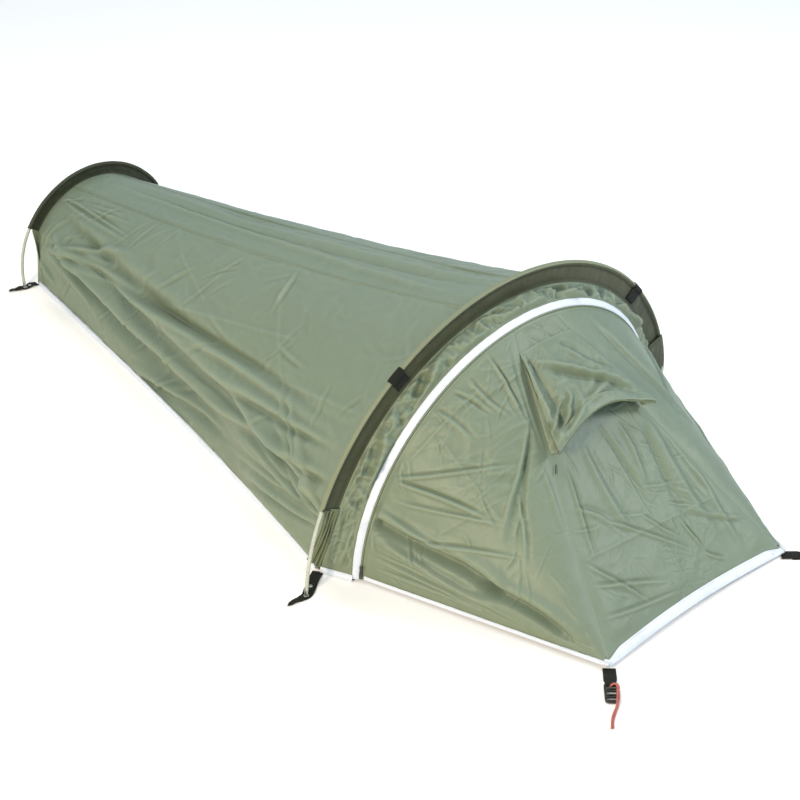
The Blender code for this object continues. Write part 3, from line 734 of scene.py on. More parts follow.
# the sage fabric darkened as painted shade, for the gather at the main hoop's foot and the roll under the
# hood's lip
SHADED_SAGE = Look(
    tent_fabric("gather_fabric", (0.130, 0.155, 0.082), (0.12, 0.15, 0.09), 0.56, glow=0.05),
    "sage_fabric")
GROUND = Look(
    tent_fabric("ground_sheet_fabric", (0.075, 0.085, 0.068), (0.085, 0.095, 0.085), 0.6, glow=0.0),
    "ground_sheet")
WHITE = Look(tape_finish("white_woven_binding", (0.71, 0.77, 0.87)), "white_binding")
# the coil, part of the white binding, is coloured dark sage: a painted shadow line beside the tape
COIL_PAINTED_SHADOW = Look(plastic_finish("zip_green_coil", (0.120, 0.140, 0.090), 0.50), "white_binding")
THREAD = Look(tape_finish("stitching_thread", (0.58, 0.62, 0.64)), "white_binding")
GREEN_THREAD = Look(tape_finish("green_stitching_thread", (0.165, 0.190, 0.115)), "sage_fabric")
DARK_THREAD = Look(tape_finish("dark_stitching_thread", (0.025, 0.027, 0.022)), "black_webbing")
OLIVE_THREAD = Look(DARK_THREAD.material, "olive_fabric")
GATHER_OLIVE = Look(SLEEVE_OLIVE.material, "sage_fabric")
WEB = Look(webbing_finish("black_woven_webbing", (0.0075, 0.0090, 0.0062)), "black_webbing")
BUCKLE = Look(plastic_finish("black_moulded_plastic", (0.012, 0.013, 0.012)), "black_plastic")
ZIP = Look(plastic_finish("zip_dark_plastic", (0.030, 0.034, 0.030), 0.42), "zip_black")
RED = Look(cord_finish("red_braided_cord", (0.56, 0.17, 0.14)), "red_cord")
ELASTIC = Look(cord_finish("white_elastic_cord", (0.68, 0.68, 0.64)), "elastic_white")
POLE = Look(pole_finish("pole_grey_tube", (0.50, 0.52, 0.44), 0.50, 0.27), "pole_grey")
METAL = Look(pole_finish("bright_turned_metal", (0.60, 0.60, 0.58), 1.0, 0.30), "pole_metal")
MESH = Look(net_finish("dark_insect_net", (0.022, 0.024, 0.022)), "insect_net")


# ---- small makers -------------------------------------------------------------------------

def full_turn(count):
    """Evenly spaced angles all the way round, in radians."""
    return np.linspace(0.0, 2 * math.pi, count, endpoint=False)


def tube_points(path, radius, sides, ripple=None):
    """Rings of points round a path, each ring square to it."""
    forward = unit(np.gradient(path, axis=0))
    side = np.cross(forward, (0.0, 0.0, 1.0))
    weak = np.linalg.norm(side, axis=1) < 0.05
    side[weak] = np.cross(forward[weak], (0.0, 1.0, 0.0))
    side = unit(side)
    over = np.cross(side, forward)
    turn = full_turn(sides)
    radius = np.broadcast_to(np.asarray(radius, float), (len(path),))[:, None]
    if ripple is not None:
        radius = radius * ripple(np.arange(len(path))[:, None], turn[None, :])
    radius = np.broadcast_to(radius, (len(path), sides))[..., None]
    return (path[:, None, :] + radius * np.cos(turn)[None, :, None] * side[:, None, :]
            + radius * np.sin(turn)[None, :, None] * over[:, None, :])


def tube(name, path, radius, body, look, nodes=(), sides=16, ripple=None):
    """A closed round bar along a path, its ends drawn in to a point."""
    rings = tube_points(path, radius, sides, ripple)
    first = np.broadcast_to(path[0], rings[:1].shape)
    last = np.broadcast_to(path[-1], rings[:1].shape)
    inner_first = first + (rings[:1] - first) * 0.999
    inner_last = last + (rings[-1:] - last) * 0.999
    whole = np.concatenate([inner_first * 0.001 + first * 0.999, rings, inner_last * 0.001 + last * 0.999])
    obj = place(name, grid_mesh(name, whole, closed_columns=True))
    close_ends(obj)
    mark_sharp(obj, 50)
    return piece(name, body, look, *nodes)


def close_ends(obj):
    """Weld the tiny end rings shut, so that a bar is one closed body."""
    bm = bmesh.new()
    bm.from_mesh(obj.data)
    bmesh.ops.remove_doubles(bm, verts=bm.verts, dist=0.00002)
    bmesh.ops.recalc_face_normals(bm, faces=bm.faces)
    bm.to_mesh(obj.data)
    bm.free()


def mark_sharp(obj, angle):
    obj.data.shade_smooth()
    obj.data.set_sharp_from_angle(angle=math.radians(angle))


def along_path(values, run, where):
    """The values, known at the distances in run, at other distances."""
    return np.stack([np.interp(where, run, values[:, k]) for k in range(3)], axis=-1)


def stitches(name, path, normals, body, look, pitch=0.0048, length=0.0032, radius=0.00040):
    """A row of stitches along a path: each a short bar that dips into the cloth at both ends."""
    run = distances(path)
    middles = np.arange(pitch / 2, run[-1] - pitch / 2, pitch)
    shape = ((-0.5, 0.15), (-0.3, 0.9), (0.0, 1.15), (0.3, 0.9), (0.5, 0.15))
    centres = along_path(path, run, middles)
    ahead = unit(along_path(path, run, middles + length / 2) - along_path(path, run, middles - length / 2))
    up = unit(along_path(normals, run, middles))
    aside = np.cross(ahead, up)
    ring = ((1.0, 0.0), (0.0, 1.0), (-1.0, 0.0), (0.0, -1.0))
    rows = []
    for along, size in shape:
        for across, lift in ring:
            rows.append(centres + ahead * (along * length) + aside * (across * radius * size)
                        + up * (radius * (lift * size + size - 0.6)))
    block = np.stack(rows, axis=1)
    count = len(shape) * len(ring)
    quads = [(4 * k + q, 4 * k + (q + 1) % 4, 4 * k + 4 + (q + 1) % 4, 4 * k + 4 + q)
             for k in range(len(shape) - 1) for q in range(4)]
    quads += [(3, 2, 1, 0), (count - 4, count - 3, count - 2, count - 1)]
    faces = (np.array(quads)[None] + np.arange(len(middles))[:, None, None] * count).reshape(-1, 4)
    mesh = bpy.data.meshes.new(name)
    mesh.from_pydata(block.reshape(-1, 3).tolist(), [], faces.tolist())
    mesh.uv_layers.new(name="weave")
    mesh.shade_smooth()
    place(name, mesh)
    return piece(name, body, look)


# ---- cabin --------------------------------------------------------------------------------

def roof_edge(along):
    return ROOF_SEAM[0] + (ROOF_SEAM[1] - ROOF_SEAM[0]) * along


def fan(cloth, corner, ends, seed, width, height):
    """Tension folds that spread from a loaded corner; ends are the far ends of the outer two."""
    rng = np.random.default_rng(seed)
    count = ends[2]
    for n in range(count):
        share = (n + 0.5 + 0.5 * (rng.random() - 0.5)) / count
        far = tuple(ends[0][k] + (ends[1][k] - ends[0][k]) * share for k in range(2))
        near = (corner[0] + rng.uniform(-1.5, 1.5), corner[1] + rng.uniform(-0.006, 0.006))
        cloth.fold(near, far, width * rng.uniform(0.7, 1.3), height * rng.uniform(0.5, 1.2),
                   spread=rng.uniform(1.2, 2.0), skew=rng.uniform(0.2, 0.6))
    return cloth


def cabin_folds_left(cloth):
    """The long diagonals pulled between the foot hoop's sleeve and the foot of the main hoop."""
    cloth.fold((28.0, 1.0), (9.0, 0.18), 0.022, -0.034, spread=1.7, skew=0.5)
    cloth.fold((35.0, 0.93), (20.0, 0.07), 0.020, -0.024, spread=1.9, skew=0.6)
    cloth.fold((47.5, 1.0), (36.0, 0.34), 0.016, -0.018, spread=1.8, skew=0.7)
    cloth.fold((30.5, 0.80), (35.5, 0.03), 0.010, 0.016, spread=1.6, skew=0.9)
    cloth.fold((30.5, 0.99), (12.0, 0.43), 0.013, 0.016, spread=1.6)
    cloth.fold((39.5, 0.96), (17.0, 0.79), 0.010, 0.012)
    cloth.fold((17.0, 0.99), (6.5, 0.93), 0.007, 0.01)
    cloth.fold((14.0, 0.02), (21.0, 0.15), 0.006, 0.012, spread=2.0, skew=0.8)
    cloth.fold((16.0, 0.02), (31.5, 0.17), 0.007, 0.014, spread=2.2, skew=0.8)
    cloth.fold((13.0, 0.02), (4.0, 0.26), 0.007, 0.014, spread=2.2, skew=0.8)
    cloth.fold((19.0, 0.02), (29.5, 0.40), 0.008, 0.016, spread=2.4, skew=0.8)
    cloth.crease((64.5, 0.36), (28.5, 0.155), 0.006, 0.0024)
    cloth.crease((62.0, 0.62), (48.0, 0.48), 0.005, 0.0024)
    fan(cloth, (26.0, 0.975), ((3.0, 0.72), (60.0, 0.66), 9), 5, 0.008, 0.0065)
    fan(cloth, (60.0, 1.0), ((50.0, 0.72), (72.0, 0.78), 4), 6, 0.006, 0.005)
    fan(cloth, (15.0, 0.0), ((5.0, 0.34), (44.0, 0.22), 9), 7, 0.0055, 0.0075)
    cloth.fold((27.0, 0.02), (15.0, 0.42), 0.009, 0.017, spread=2.4, skew=0.9)
    cloth.fold((34.0, 0.04), (25.0, 0.46), 0.008, 0.012, spread=2.2, skew=0.9)
    cloth.fold((11.0, 0.30), (3.5, 0.66), 0.011, 0.012, spread=1.5, skew=0.9)
    cloth.crease((43.0, 0.03), (30.0, 0.52), 0.006, 0.0034)
    cloth.crease((52.0, 0.25), (37.0, 0.60), 0.006, 0.0030)
    cloth.strew(338, 44, 60.0, 0.0055, 0.0034, length=(0.06, 0.2))


def cabin_folds_right(cloth):
    """The right side is the same panel, pulled a little differently."""
    cloth.fold((150.0, 1.0), (169.0, 0.22), 0.026, -0.0266, spread=1.6, skew=0.5)
    cloth.fold((143.0, 0.96), (158.0, 0.10), 0.020, -0.0228, spread=1.8, skew=0.6)
    cloth.fold((131.0, 1.0), (147.0, 0.40), 0.017, -0.0152, spread=1.7, skew=0.6)
    cloth.fold((152.0, 0.84), (143.0, 0.04), 0.011, 0.0152, spread=1.6, skew=0.9)
    cloth.fold((166.0, 0.02), (150.0, 0.22), 0.008, 0.0133, spread=2.2, skew=0.8)
    cloth.fold((162.0, 0.02), (152.0, 0.36), 0.008, 0.0152, spread=2.2, skew=0.8)
    cloth.crease((116.0, 0.44), (150.0, 0.20), 0.006, 0.0023)
    fan(cloth, (156.0, 1.0), ((176.0, 0.78), (121.0, 0.72), 7), 15, 0.008, 0.0045)
    fan(cloth, (166.0, 0.0), ((178.0, 0.20), (140.0, 0.16), 5), 16, 0.006, 0.004)


def slack_cloth(cloth, seed, soft, sharp):
    """Slack rolls and packing creases over a whole panel, heights in metres."""
    cloth.add(soft * swell(cloth.s, cloth.t * 0.45, 0.16, seed))
    cloth.add(sharp * crinkle(cloth.s, cloth.t * 0.8, 0.055, seed + 50))
    return cloth


def make_cabin_side(name, mirror, node, folds, seed):
    share, along = net(spaced(0.0, 1.0, 0.68, GRID), spaced(0.0, 1.0, CABIN_LENGTH, GRID))
    angle = 0.3 + (roof_edge(along) + 0.35 - 0.3) * share
    if mirror:
        angle = 180.0 - angle
    cloth = Cloth(cabin_point, angle, along).outward((1.0 if mirror else -1.0, 0.0, 0.3))
    folds(cloth)
    slack_cloth(cloth, seed, 0.0042, 0.0026)
    fabric(name, cloth.shaped(cloth.edges(0.022)), "tent", SAGE, (node,))


def make_cabin_roof():
    share, along = net(spaced(0.0, 1.0, 0.20, GRID), spaced(0.0, 1.0, CABIN_LENGTH, GRID))
    low = roof_edge(along) - 0.75
    cloth = Cloth(cabin_point, low + (180.0 - 2 * low) * share, along).outward((0, 0, 1))
    for across, height in ((0.25, 0.006), (0.55, -0.007), (0.8, 0.005)):
        start = roof_edge(0.0) + (180.0 - 2 * roof_edge(0.0)) * across
        cloth.fold((start, 0.0), (start + 1.5, 0.98), 0.014, height, spread=0.8, tails=(0.2, 0.3))
    slack_cloth(cloth, 31, 0.0040, 0.0022)
    points = cloth.shaped(cloth.edges(0.02)) + cloth.normal * (FABRIC + 0.0002)
    fabric("cabin_roof_fabric", points, "tent", SAGE, ("cabin_roof",))


def make_roof_seams():
    """Felled seams: a narrow doubled lap with two rows of stitches."""
    along = np.linspace(0.004, 0.996, 300)
    offset, place_along = net(np.linspace(-0.45, 0.30, 9), along)
    lap = 0.0014 + 0.0010 * np.sin(np.pi * (offset + 0.45) / 0.75)
    lap = lap + 0.0003 * noise(place_along * 70.0, offset, 29)
    angle = roof_edge(place_along) + offset
    points = cabin_point(angle, place_along) + lap[..., None] * np.array((-0.15, 0.0, 0.99))
    for side in SIDES:
        fabric(f"roof_seam_{side}", on_side(side, points), "tent", SAGE, thickness=0.0010)
    for side in SIDES:
        for row, offset in enumerate((-0.35, 0.15)):
            angle = roof_edge(along) + offset
            if side == "right":
                angle = 180.0 - angle
            path = cabin_point(angle, along)
            lifted = path + np.array((0.0, 0.0, 0.0030))
            stitches(f"roof_seam_stitches_{side}_{row + 1}", lifted, everywhere(UP, path), "tent",
                     GREEN_THREAD)


make_cabin_side("cabin_side_left_fabric", False, "cabin_side_left", cabin_folds_left, 3)
make_cabin_side("cabin_side_right_fabric", True, "cabin_side_right", cabin_folds_right, 13)
make_cabin_roof()
make_roof_seams()


# ---- floor, foot end and the white binding along the ground ------------------------------

def make_floor():
    """The ground sheet: flat on the ground but for a few soft wrinkles."""
    stations = np.concatenate([[0.0], np.linspace(0.0, 1.0, 180)])
    edge = cabin_point(np.zeros_like(stations), stations)
    edge[0] = tape_point(TAPE_FOOT, TAPE_EDGES[0]) * (1.0, 1.0, 0.0)
    half = -edge[:, 0] - 0.0045
    share = np.linspace(-1.0, 1.0, 130)
    x = half[:, None] * share[None, :]
    y = np.broadcast_to(edge[:, 1:2], x.shape)
    level = FABRIC / 2 + 0.0001
    sewn = ease(1.0 - np.abs(share), 0.0, 0.08)[None, :]
    ripple = 0.003 * np.maximum(swell(x, y, 0.12, 71), 0.0)
    ripple = ripple + 0.0012 * np.maximum(crinkle(x, y, 0.06, 72), 0.0)
    z = level + ripple * sewn
    fabric("floor_fabric", np.stack([x, y, z], axis=-1), "tent", GROUND, ("floor",))


def make_foot_panel():
    """The panel that closes the foot end, gathered a little at the hoop."""
    inner = rail(FOOT, "foot", FOOT_CORNER, 0.0045)

    def surface(angle, share):
        left = inner(angle) + np.array((0.0005, -0.0006, 0.0))
        point = mix(left, flipped(left), share)
        belly = 0.014 * np.sin(np.pi * share) * np.sin(np.radians(np.clip(angle * 2, 0.0, 180.0)))
        return point + belly[..., None] * np.array((0.0, 1.0, 0.0))

    angle, share = net(spaced(0.4, 89.0, 0.26, FINE_GRID), spaced(0.0, 1.0, 0.42, FINE_GRID))
    cloth = Cloth(surface, angle, share).outward((0, 1, 0))
    cloth.fold((2.0, 0.02), (52.0, 0.42), 0.014, 0.006, spread=1.6, skew=0.6)
    cloth.fold((2.0, 0.98), (50.0, 0.62), 0.014, 0.006, spread=1.6, skew=0.6)
    cloth.fold((78.0, 0.4), (20.0, 0.46), 0.012, -0.004, spread=1.5)
    cloth.add(0.0014 * swell(cloth.s, cloth.t, 0.09, 61))
    cloth.add(0.0012 * crinkle(cloth.s, cloth.t, 0.05, 62))
    fabric("foot_panel_fabric", cloth.shaped(cloth.edges(0.015, "nwe")), "tent", SAGE,
           ("foot_panel",))


def folded_binding(name, low, up, out, height, body, nodes, seed):
    """White tape folded over an edge: low is the edge's path, up and out its two directions."""
    profile = ((height, 0.0014), (height * 0.5, 0.0018), (0.0008, 0.0016), (-0.0006, 0.0),
               (0.0008, -0.0014), (height * 0.5, -0.0012), (height, -0.0010))
    run = distances(low)
    shift = 0.0006 * (noise(run / 0.03, run * 0.0, seed) + 0.5 * noise(run / 0.011, run * 0.0, seed + 1))
    rows = [low + up * lift + out * (off + shift * min(lift / height, 1.0))[:, None]
            for lift, off in profile]
    fabric(name, np.stack(rows, axis=0), body, WHITE, nodes, thickness=0.0006)
    sewn = low + up * (height * 0.82) + out * (0.0020 + shift * 0.8)[:, None]
    stitches(f"{name}_stitches", sewn, everywhere(out, low), body, THREAD)


def make_body_trims():
    along = np.linspace(0.004, 0.996, 320)
    low = cabin_point(np.zeros_like(along), along) + np.array((-0.0016, 0.0, 0.0014))
    up = everywhere((0.10, 0.0, 0.995), low)
    out = everywhere((-1.0, 0.0, 0.0), low)
    for side, seed in (("left", 81), ("right", 82)):
        folded_binding(f"side_binding_{side}", *on_side(side, low, up, out), TRIM_HEIGHT, "tent",
                       (f"body_trim_{side}",), seed=seed)
    across = np.linspace(-1.0, 1.0, 90) * (-FOOT_CORNER[0] - 0.004)
    low = np.zeros((len(across), 3)) + (0.0, FOOT_CORNER[1] + 0.0070, 0.0014)
    low[:, 0] = across
    folded_binding("foot_binding", low, everywhere(UP, low), everywhere((0.0, 1.0, 0.0), low), TRIM_HEIGHT,
                   "tent", ("body_trim_foot",), seed=83)


make_floor()
make_foot_panel()
make_body_trims()


# ---- pole sleeves, bands and poles --------------------------------------------------------

def sleeve_profile(arch, depth, lift=0.0):
    """(radius, ahead, slack) of the folded fabric: splayed at the seam, flat, then round the pole."""
    seam = arch.radius + POLE_RADIUS - depth
    radius = SLEEVE_RADIUS + lift
    opening = math.asin(0.0013 / radius)
    fold = np.linspace(math.pi + opening, 3 * math.pi - opening, 21)
    over = [(arch.radius + radius * math.cos(turn), radius * math.sin(turn), 0.15) for turn in fold]
    flat = np.linspace(seam + 0.006, arch.radius - radius - 0.001, 9)
    slack = np.sin(np.linspace(0.25, 2.9, 9))
    down = [(r, 0.0013 + lift, k) for r, k in zip(flat, slack)]
    splay = [(seam - 0.0035, 0.0052, 0.0), (seam + 0.0010, 0.0036, 0.0)]
    front = splay + down
    back = [(r, -ahead, k) for r, ahead, k in front]
    return back + over[1:-1] + front[::-1]


def make_sleeve(name, arch, key, look, node, seed):
    """The doubled fin of fabric with the pole in its outer fold."""
    start = SLEEVE_START[key]
    profile = np.array(sleeve_profile(arch, SLEEVE_DEPTH[key]))
    angle = spaced(start, 180.0 - start, math.radians(180 - 2 * start) * arch.radius, 0.0035)[:, None]
    radius, ahead, slack = profile[None, :, 0], profile[None, :, 1], profile[None, :, 2]
    run = np.radians(angle) * arch.radius
    depth_in = radius - profile[0, 0]
    waves = noise(run / 0.034 + 0.2 * depth_in / 0.02, depth_in / 0.05, seed)
    waves = waves + 0.5 * noise(run / 0.013, depth_in / 0.03, seed + 1)
    waves = waves + 0.8 * crinkle(run, depth_in * 0.6 + 0 * run, 0.03, seed + 2)
    tips = ease(angle, start, start + 2.0) * ease(180.0 - angle, start, start + 2.0)
    ahead = ahead + 0.0017 * waves * slack * (0.35 + 0.65 * tips)
    channel = radius > arch.radius - SLEEVE_RADIUS
    radius = radius + np.where(channel, 0.0004 * noise(run / 0.02, ahead * 0, seed + 5), 0.0)
    fabric(name, arch.point(angle, radius, ahead), "tent", look, (node,), thickness=0.0007)
    if key == "main":
        make_sleeve_rim_highlight(name, arch, angle)
    make_sleeve_hems(name, arch, start, profile)
    make_sleeve_stitches(name, arch, start, profile[0, 0] + 0.0105)


def make_sleeve_rim_highlight(name, arch, angle):
    """A paler sheet over the pole's crest, from one end of the sleeve to the other: a painted highlight
    where light catches the fabric round the pole.
    """
    radius = SLEEVE_RADIUS + 0.0007
    turn = np.radians(np.linspace(-72.0, 165.0, 18))[None, :]
    rim = arch.point(angle, arch.radius + radius * np.cos(turn), -radius * np.sin(turn))
    fabric(f"{name}_rim", rim, "tent", SLEEVE_RIM_HIGHLIGHT, thickness=0.0005)


def make_sleeve_hems(name, arch, start, profile):
    """A narrow dark hem round the sleeve's opening at both ends, in the olive fabric darkened as painted
    shade.
    """
    ahead = profile[None, :, 1] + np.sign(profile[None, :, 1]) * 0.0008
    radius = np.broadcast_to(profile[None, :, 0], ahead.shape)
    for side, end, inward in (("left", start, 1.0), ("right", 180.0 - start, -1.0)):
        turn = np.linspace(end - 0.05, end + 0.62 * inward, 6)[:, None]
        fabric(f"{name}_hem_{side}", arch.point(turn, radius, ahead), "tent", SHADED_OLIVE, thickness=0.0008)


def make_sleeve_stitches(name, arch, start, base_radius):
    """One row under the pole's channel and one along the base, on both faces."""
    seam_radius = arch.radius - SLEEVE_RADIUS - 0.0035
    path_angle = np.linspace(start + 0.5, 179.5 - start, 400)
    for label, at_radius in (("channel", seam_radius), ("base", base_radius)):
        for side, face in (("front", 1.0), ("back", -1.0)):
            path = arch.point(path_angle, at_radius, face * 0.0022)
            out = arch.point(path_angle, at_radius, face * 0.02) - path
            stitches(f"{name}_{label}_stitches_{side}", path, out, "tent", OLIVE_THREAD)


def make_sleeve_band(name, angle, node, seed):
    """Webbing folded over the sleeve and bar-tacked down, for a guy line."""
    half = math.degrees(BAND_WIDTH / MAIN.radius) / 2
    profile = np.array(sleeve_profile(MAIN, SLEEVE_DEPTH["main"], 0.0022))[3:-3]
    turn = np.linspace(angle - half, angle + half, 25)[:, None]
    radius, ahead = profile[None, :, 0], profile[None, :, 1]
    edge = 1.0 - np.abs(turn - angle) / half
    raised = 0.0008 + 0.0005 * noise(turn * 1.7, radius / 0.01, seed)
    ahead = ahead + np.sign(ahead) * raised * ease(edge, 0, 0.3)
    fabric(name, MAIN.point(turn, radius, ahead), "tent", WEB, (node,), thickness=0.0013)
    low = profile[0, 0] + 0.004
    for row, at_radius in enumerate((low, low + 0.006)):
        for side, face in (("front", 1.0), ("back", -1.0)):
            across = np.linspace(angle - half * 0.85, angle + half * 0.85, 30)
            path = MAIN.point(across, at_radius, face * 0.0052)
            out = MAIN.point(across, at_radius, face * 0.03) - path
            stitches(f"{name}_tack_{row + 1}_{side}", path, out, "tent", DARK_THREAD,
                     pitch=0.0030, length=0.0024)


def make_pole(prefix, arch, sections):
    """Smooth tubes in place of the faceted ones, with a ferrule at each joint."""
    for number in range(1, sections + 1):
        node = f"{prefix}_pole_section_{number}"
        points = node_points(node)
        rise = points[:, 2] / math.cos(arch.lean) - arch.centre
        turn = (np.degrees(np.arctan2(rise, -points[:, 0])) + 90.0) % 360.0 - 90.0
        low, high = turn.min(), turn.max()
        path = arch.point(np.linspace(low, high, 60))
        tube(f"{node}_rod", path, POLE_RADIUS, "tent", POLE, (node,), sides=20)
        if number < sections:
            gap = math.degrees(0.011 / arch.radius)
            path = arch.point(np.linspace(high - gap, high - 0.02, 8))
            tube(f"{prefix}_pole_ferrule_{number}", path, POLE_RADIUS + 0.0003, "tent", METAL,
                 sides=20)


def dress_cad(names, look):
    for name in names:
        materials = frame["nodes"][name].data.materials
        materials.clear()
        materials.append(look.material)


make_sleeve("main_sleeve_fabric", MAIN, "main", SLEEVE_OLIVE, "main_sleeve", 201)
# the foot sleeve wears the olive with painted shade
make_sleeve("foot_sleeve_fabric", FOOT, "foot", SHADED_OLIVE, "foot_sleeve", 221)
for side, angle, seed in (("left", BAND_ANGLES[0], 241), ("right", BAND_ANGLES[1], 245)):
    make_sleeve_band(f"sleeve_band_{side}_webbing", angle, f"sleeve_band_{side}", seed)
make_pole("main", MAIN, 5)
make_pole("foot", FOOT, 3)
dress_cad([f"{hoop}_pole_tip_{side}" for hoop in ("main", "foot") for side in SIDES], METAL)
dress_cad([name for name in frame["nodes"] if "_insert_" in name], METAL)
dress_cad(("main_shock_cord", "foot_shock_cord"), ELASTIC)


# ---- front strip, base band and gathers ---------------------------------------------------

STRIP_LENGTH = 1.75           # round the arch


def make_front_strip():
    """The fixed strip between sleeve and zip: gathered, so it puckers all the way round."""
    share, across = net(spaced(0.0, 1.0, STRIP_LENGTH, 0.0030), spaced(0.0, 1.0, 0.10, 0.0030))
    cloth = Cloth(strip_point, share, across).outward((0, -1, 0.4))
    run = share * STRIP_LENGTH
    ground = np.minimum(share, 1.0 - share) * STRIP_LENGTH
    low = 1.0 - ease(ground, 0.10, 0.34)
    slant = 0.5 * noise(run / 0.13, run * 0.0, 91)
    pucker = noise(run / 0.024 + slant * cloth.t / 0.03, cloth.t / 0.06, 92)
    pucker = pucker + 0.5 * noise(run / 0.011 + slant, cloth.t / 0.04, 93)
    hanging = noise(cloth.t / 0.014, run / 0.16, 94) + 0.5 * noise(cloth.t / 0.007, run / 0.11, 95)
    strength = 0.65 + 0.35 * noise(run / 0.17, run * 0.0, 96)
    cloth.add(0.0092 * strength * pucker * (1.0 - low) + 0.0085 * low * hanging)
    cloth.add(0.0130 * crinkle(run, cloth.t, 0.046, 97) * (1.0 - 0.5 * low))
    cloth.add(0.0050 * veins(run, cloth.t, 0.030, 89))
    cloth.add(0.010 * noise(run / 0.085, cloth.t / 0.07, 98) * (1.0 - low))
    for start, end, height in (((0.150, 0.9), (0.255, 0.1), 0.010), ((0.255, 0.9), (0.385, 0.12), 0.012),
                               ((0.235, 0.9), (0.275, 0.2), -0.008), ((0.42, 0.2), (0.50, 0.9), 0.008),
                               ((0.54, 0.2), (0.64, 0.85), 0.009), ((0.70, 0.9), (0.84, 0.1), 0.010)):
        cloth.fold(start, end, 0.009, 1.3 * height, spread=1.5, skew=0.7)
    mask = cloth.edges(0.011, "we", 0.001) * cloth.edges(0.036, "ns", 0.018)
    points = cloth.shaped(mask)
    points[..., 2] = np.maximum(points[..., 2], 0.0020)
    fabric("front_strip_fabric", points, "tent", SAGE, ("front_strip",))
    path_share = np.linspace(0.004, 0.996, 500)
    for row, place_across in enumerate((0.955, 0.985)):
        path = strip_point(path_share, np.full_like(path_share, place_across))
        out = np.broadcast_to((0.0, -0.64, 0.3), path.shape) + (path - (0, path[0, 1], 0)) * 0.8
        stitches(f"front_strip_stitches_{row + 1}", path, out, "tent", GREEN_THREAD)


def make_base_bands():
    """White tape across the foot of the front strip, on both sides."""
    across = np.linspace(-0.02, 1.02, 40)
    base = strip_point(np.zeros_like(across), across)
    low = base * (1.0, 1.0, 0.0) + np.array((-0.0018, -0.0010, 0.0016))
    up = everywhere((0.12, -0.05, 0.99), low)
    out = everywhere((-0.75, -0.66, 0.0), low)
    for side in SIDES:
        folded_binding(f"base_band_{side}", *on_side(side, low, up, out), 0.0165, "tent", (), seed=101)


ARCHES = {"main": MAIN, "foot": FOOT}
GATHER_RAILS = {"main": FRONT_RAIL, "foot": FOOT_RAIL}     # where a gather is sewn on
GATHER_INSET = {"main": np.array((0.006, -0.0030, 0.0)), "foot": np.array((0.004, 0.0030, 0.0))}
GATHER_FOOT = {"main": np.array((-0.0035, 0.040, 0.0145)), "foot": np.array((-0.0035, -0.030, 0.0145))}
GATHER_HOLLOW = {"main": 0.010, "foot": 0.004}             # how far the free edge swings in
GATHER_OUTWARD = {"main": np.array((-0.86, -0.50, 0.06)), "foot": np.array((-0.95, 0.30, 0.06))}
GATHER_LAP = 1.6              # degrees that the wrapped gather reaches up into the sleeve


def gather_edge(key, wraps_pole, down):
    """A gather's free edge, from the sleeve's end to the ground: loose, or wrapped round the pole."""
    arch, start = ARCHES[key], SLEEVE_START[key]
    if wraps_pole:
        angle = (start + GATHER_LAP) * (1.0 - down) - 4.0 * down
        edge = arch.point(angle, arch.radius + SLEEVE_RADIUS * (1.0 - 0.45 * down), 0.0080 - 0.004 * down)
        return edge + np.array((0.012, 0.030, 0.0)) * down[..., None] ** 3
    top = arch.point(start + 0.3, arch.radius - SLEEVE_RADIUS - 0.003, 0.0)
    low = GATHER_RAILS[key](0.0) + GATHER_FOOT[key]
    hollow = GATHER_HOLLOW[key] * np.sin(np.pi * down)
    return mix(top, low, down) + hollow[..., None] * np.array((1.0, 0.0, 0.0))


def make_gather(key, side, look, pleat_depth, wraps_pole=False):
    """The loose, pleated fabric that hangs from one end of a sleeve to the ground."""
    down, across = net(np.linspace(0.0, 1.0, 80), np.linspace(0.0, 1.0, 48))
    upper = SLEEVE_START[key] + (GATHER_LAP if wraps_pole else 0.2)
    inner = GATHER_RAILS[key](np.maximum(upper * (1.0 - down), 0.4)) + GATHER_INSET[key]
    points = mix(gather_edge(key, wraps_pole, down), inner, across)
    pleats = noise(across * 7.0 + 0.6 * noise(down * 3.0, across, 111), down * 1.3, 112)
    pleats = pleats + 0.6 * np.cos(across * 30.0 + 2.0 * down) + 0.35 * noise(across * 16.0, down * 5.0, 113)
    loose_from = 0.0 if wraps_pole else -0.15
    sewn = ease(down, 0.0, 0.06) * ease(across, loose_from, 0.25) * ease(1.0 - across, 0.0, 0.15)
    points = points + ((pleat_depth * pleats + 0.0030) * sewn)[..., None] * GATHER_OUTWARD[key]
    points[..., 2] = np.maximum(points[..., 2], 0.0120)
    fabric(f"{key}_corner_gather_{side}", on_side(side, points), "tent", look)


# the left gather wears the sage with painted shade
make_gather("main", "left", SHADED_SAGE, 0.0042)
make_gather("main", "right", GATHER_OLIVE, 0.0013, wraps_pole=True)
for side in SIDES:
    make_gather("foot", side, SAGE, 0.0022)
make_front_strip()
make_base_bands()


# ---- zip ----------------------------------------------------------------------------------

ZIP_ENDS = (-4.4, 184.4)
ZIP_LENGTH = 1.56


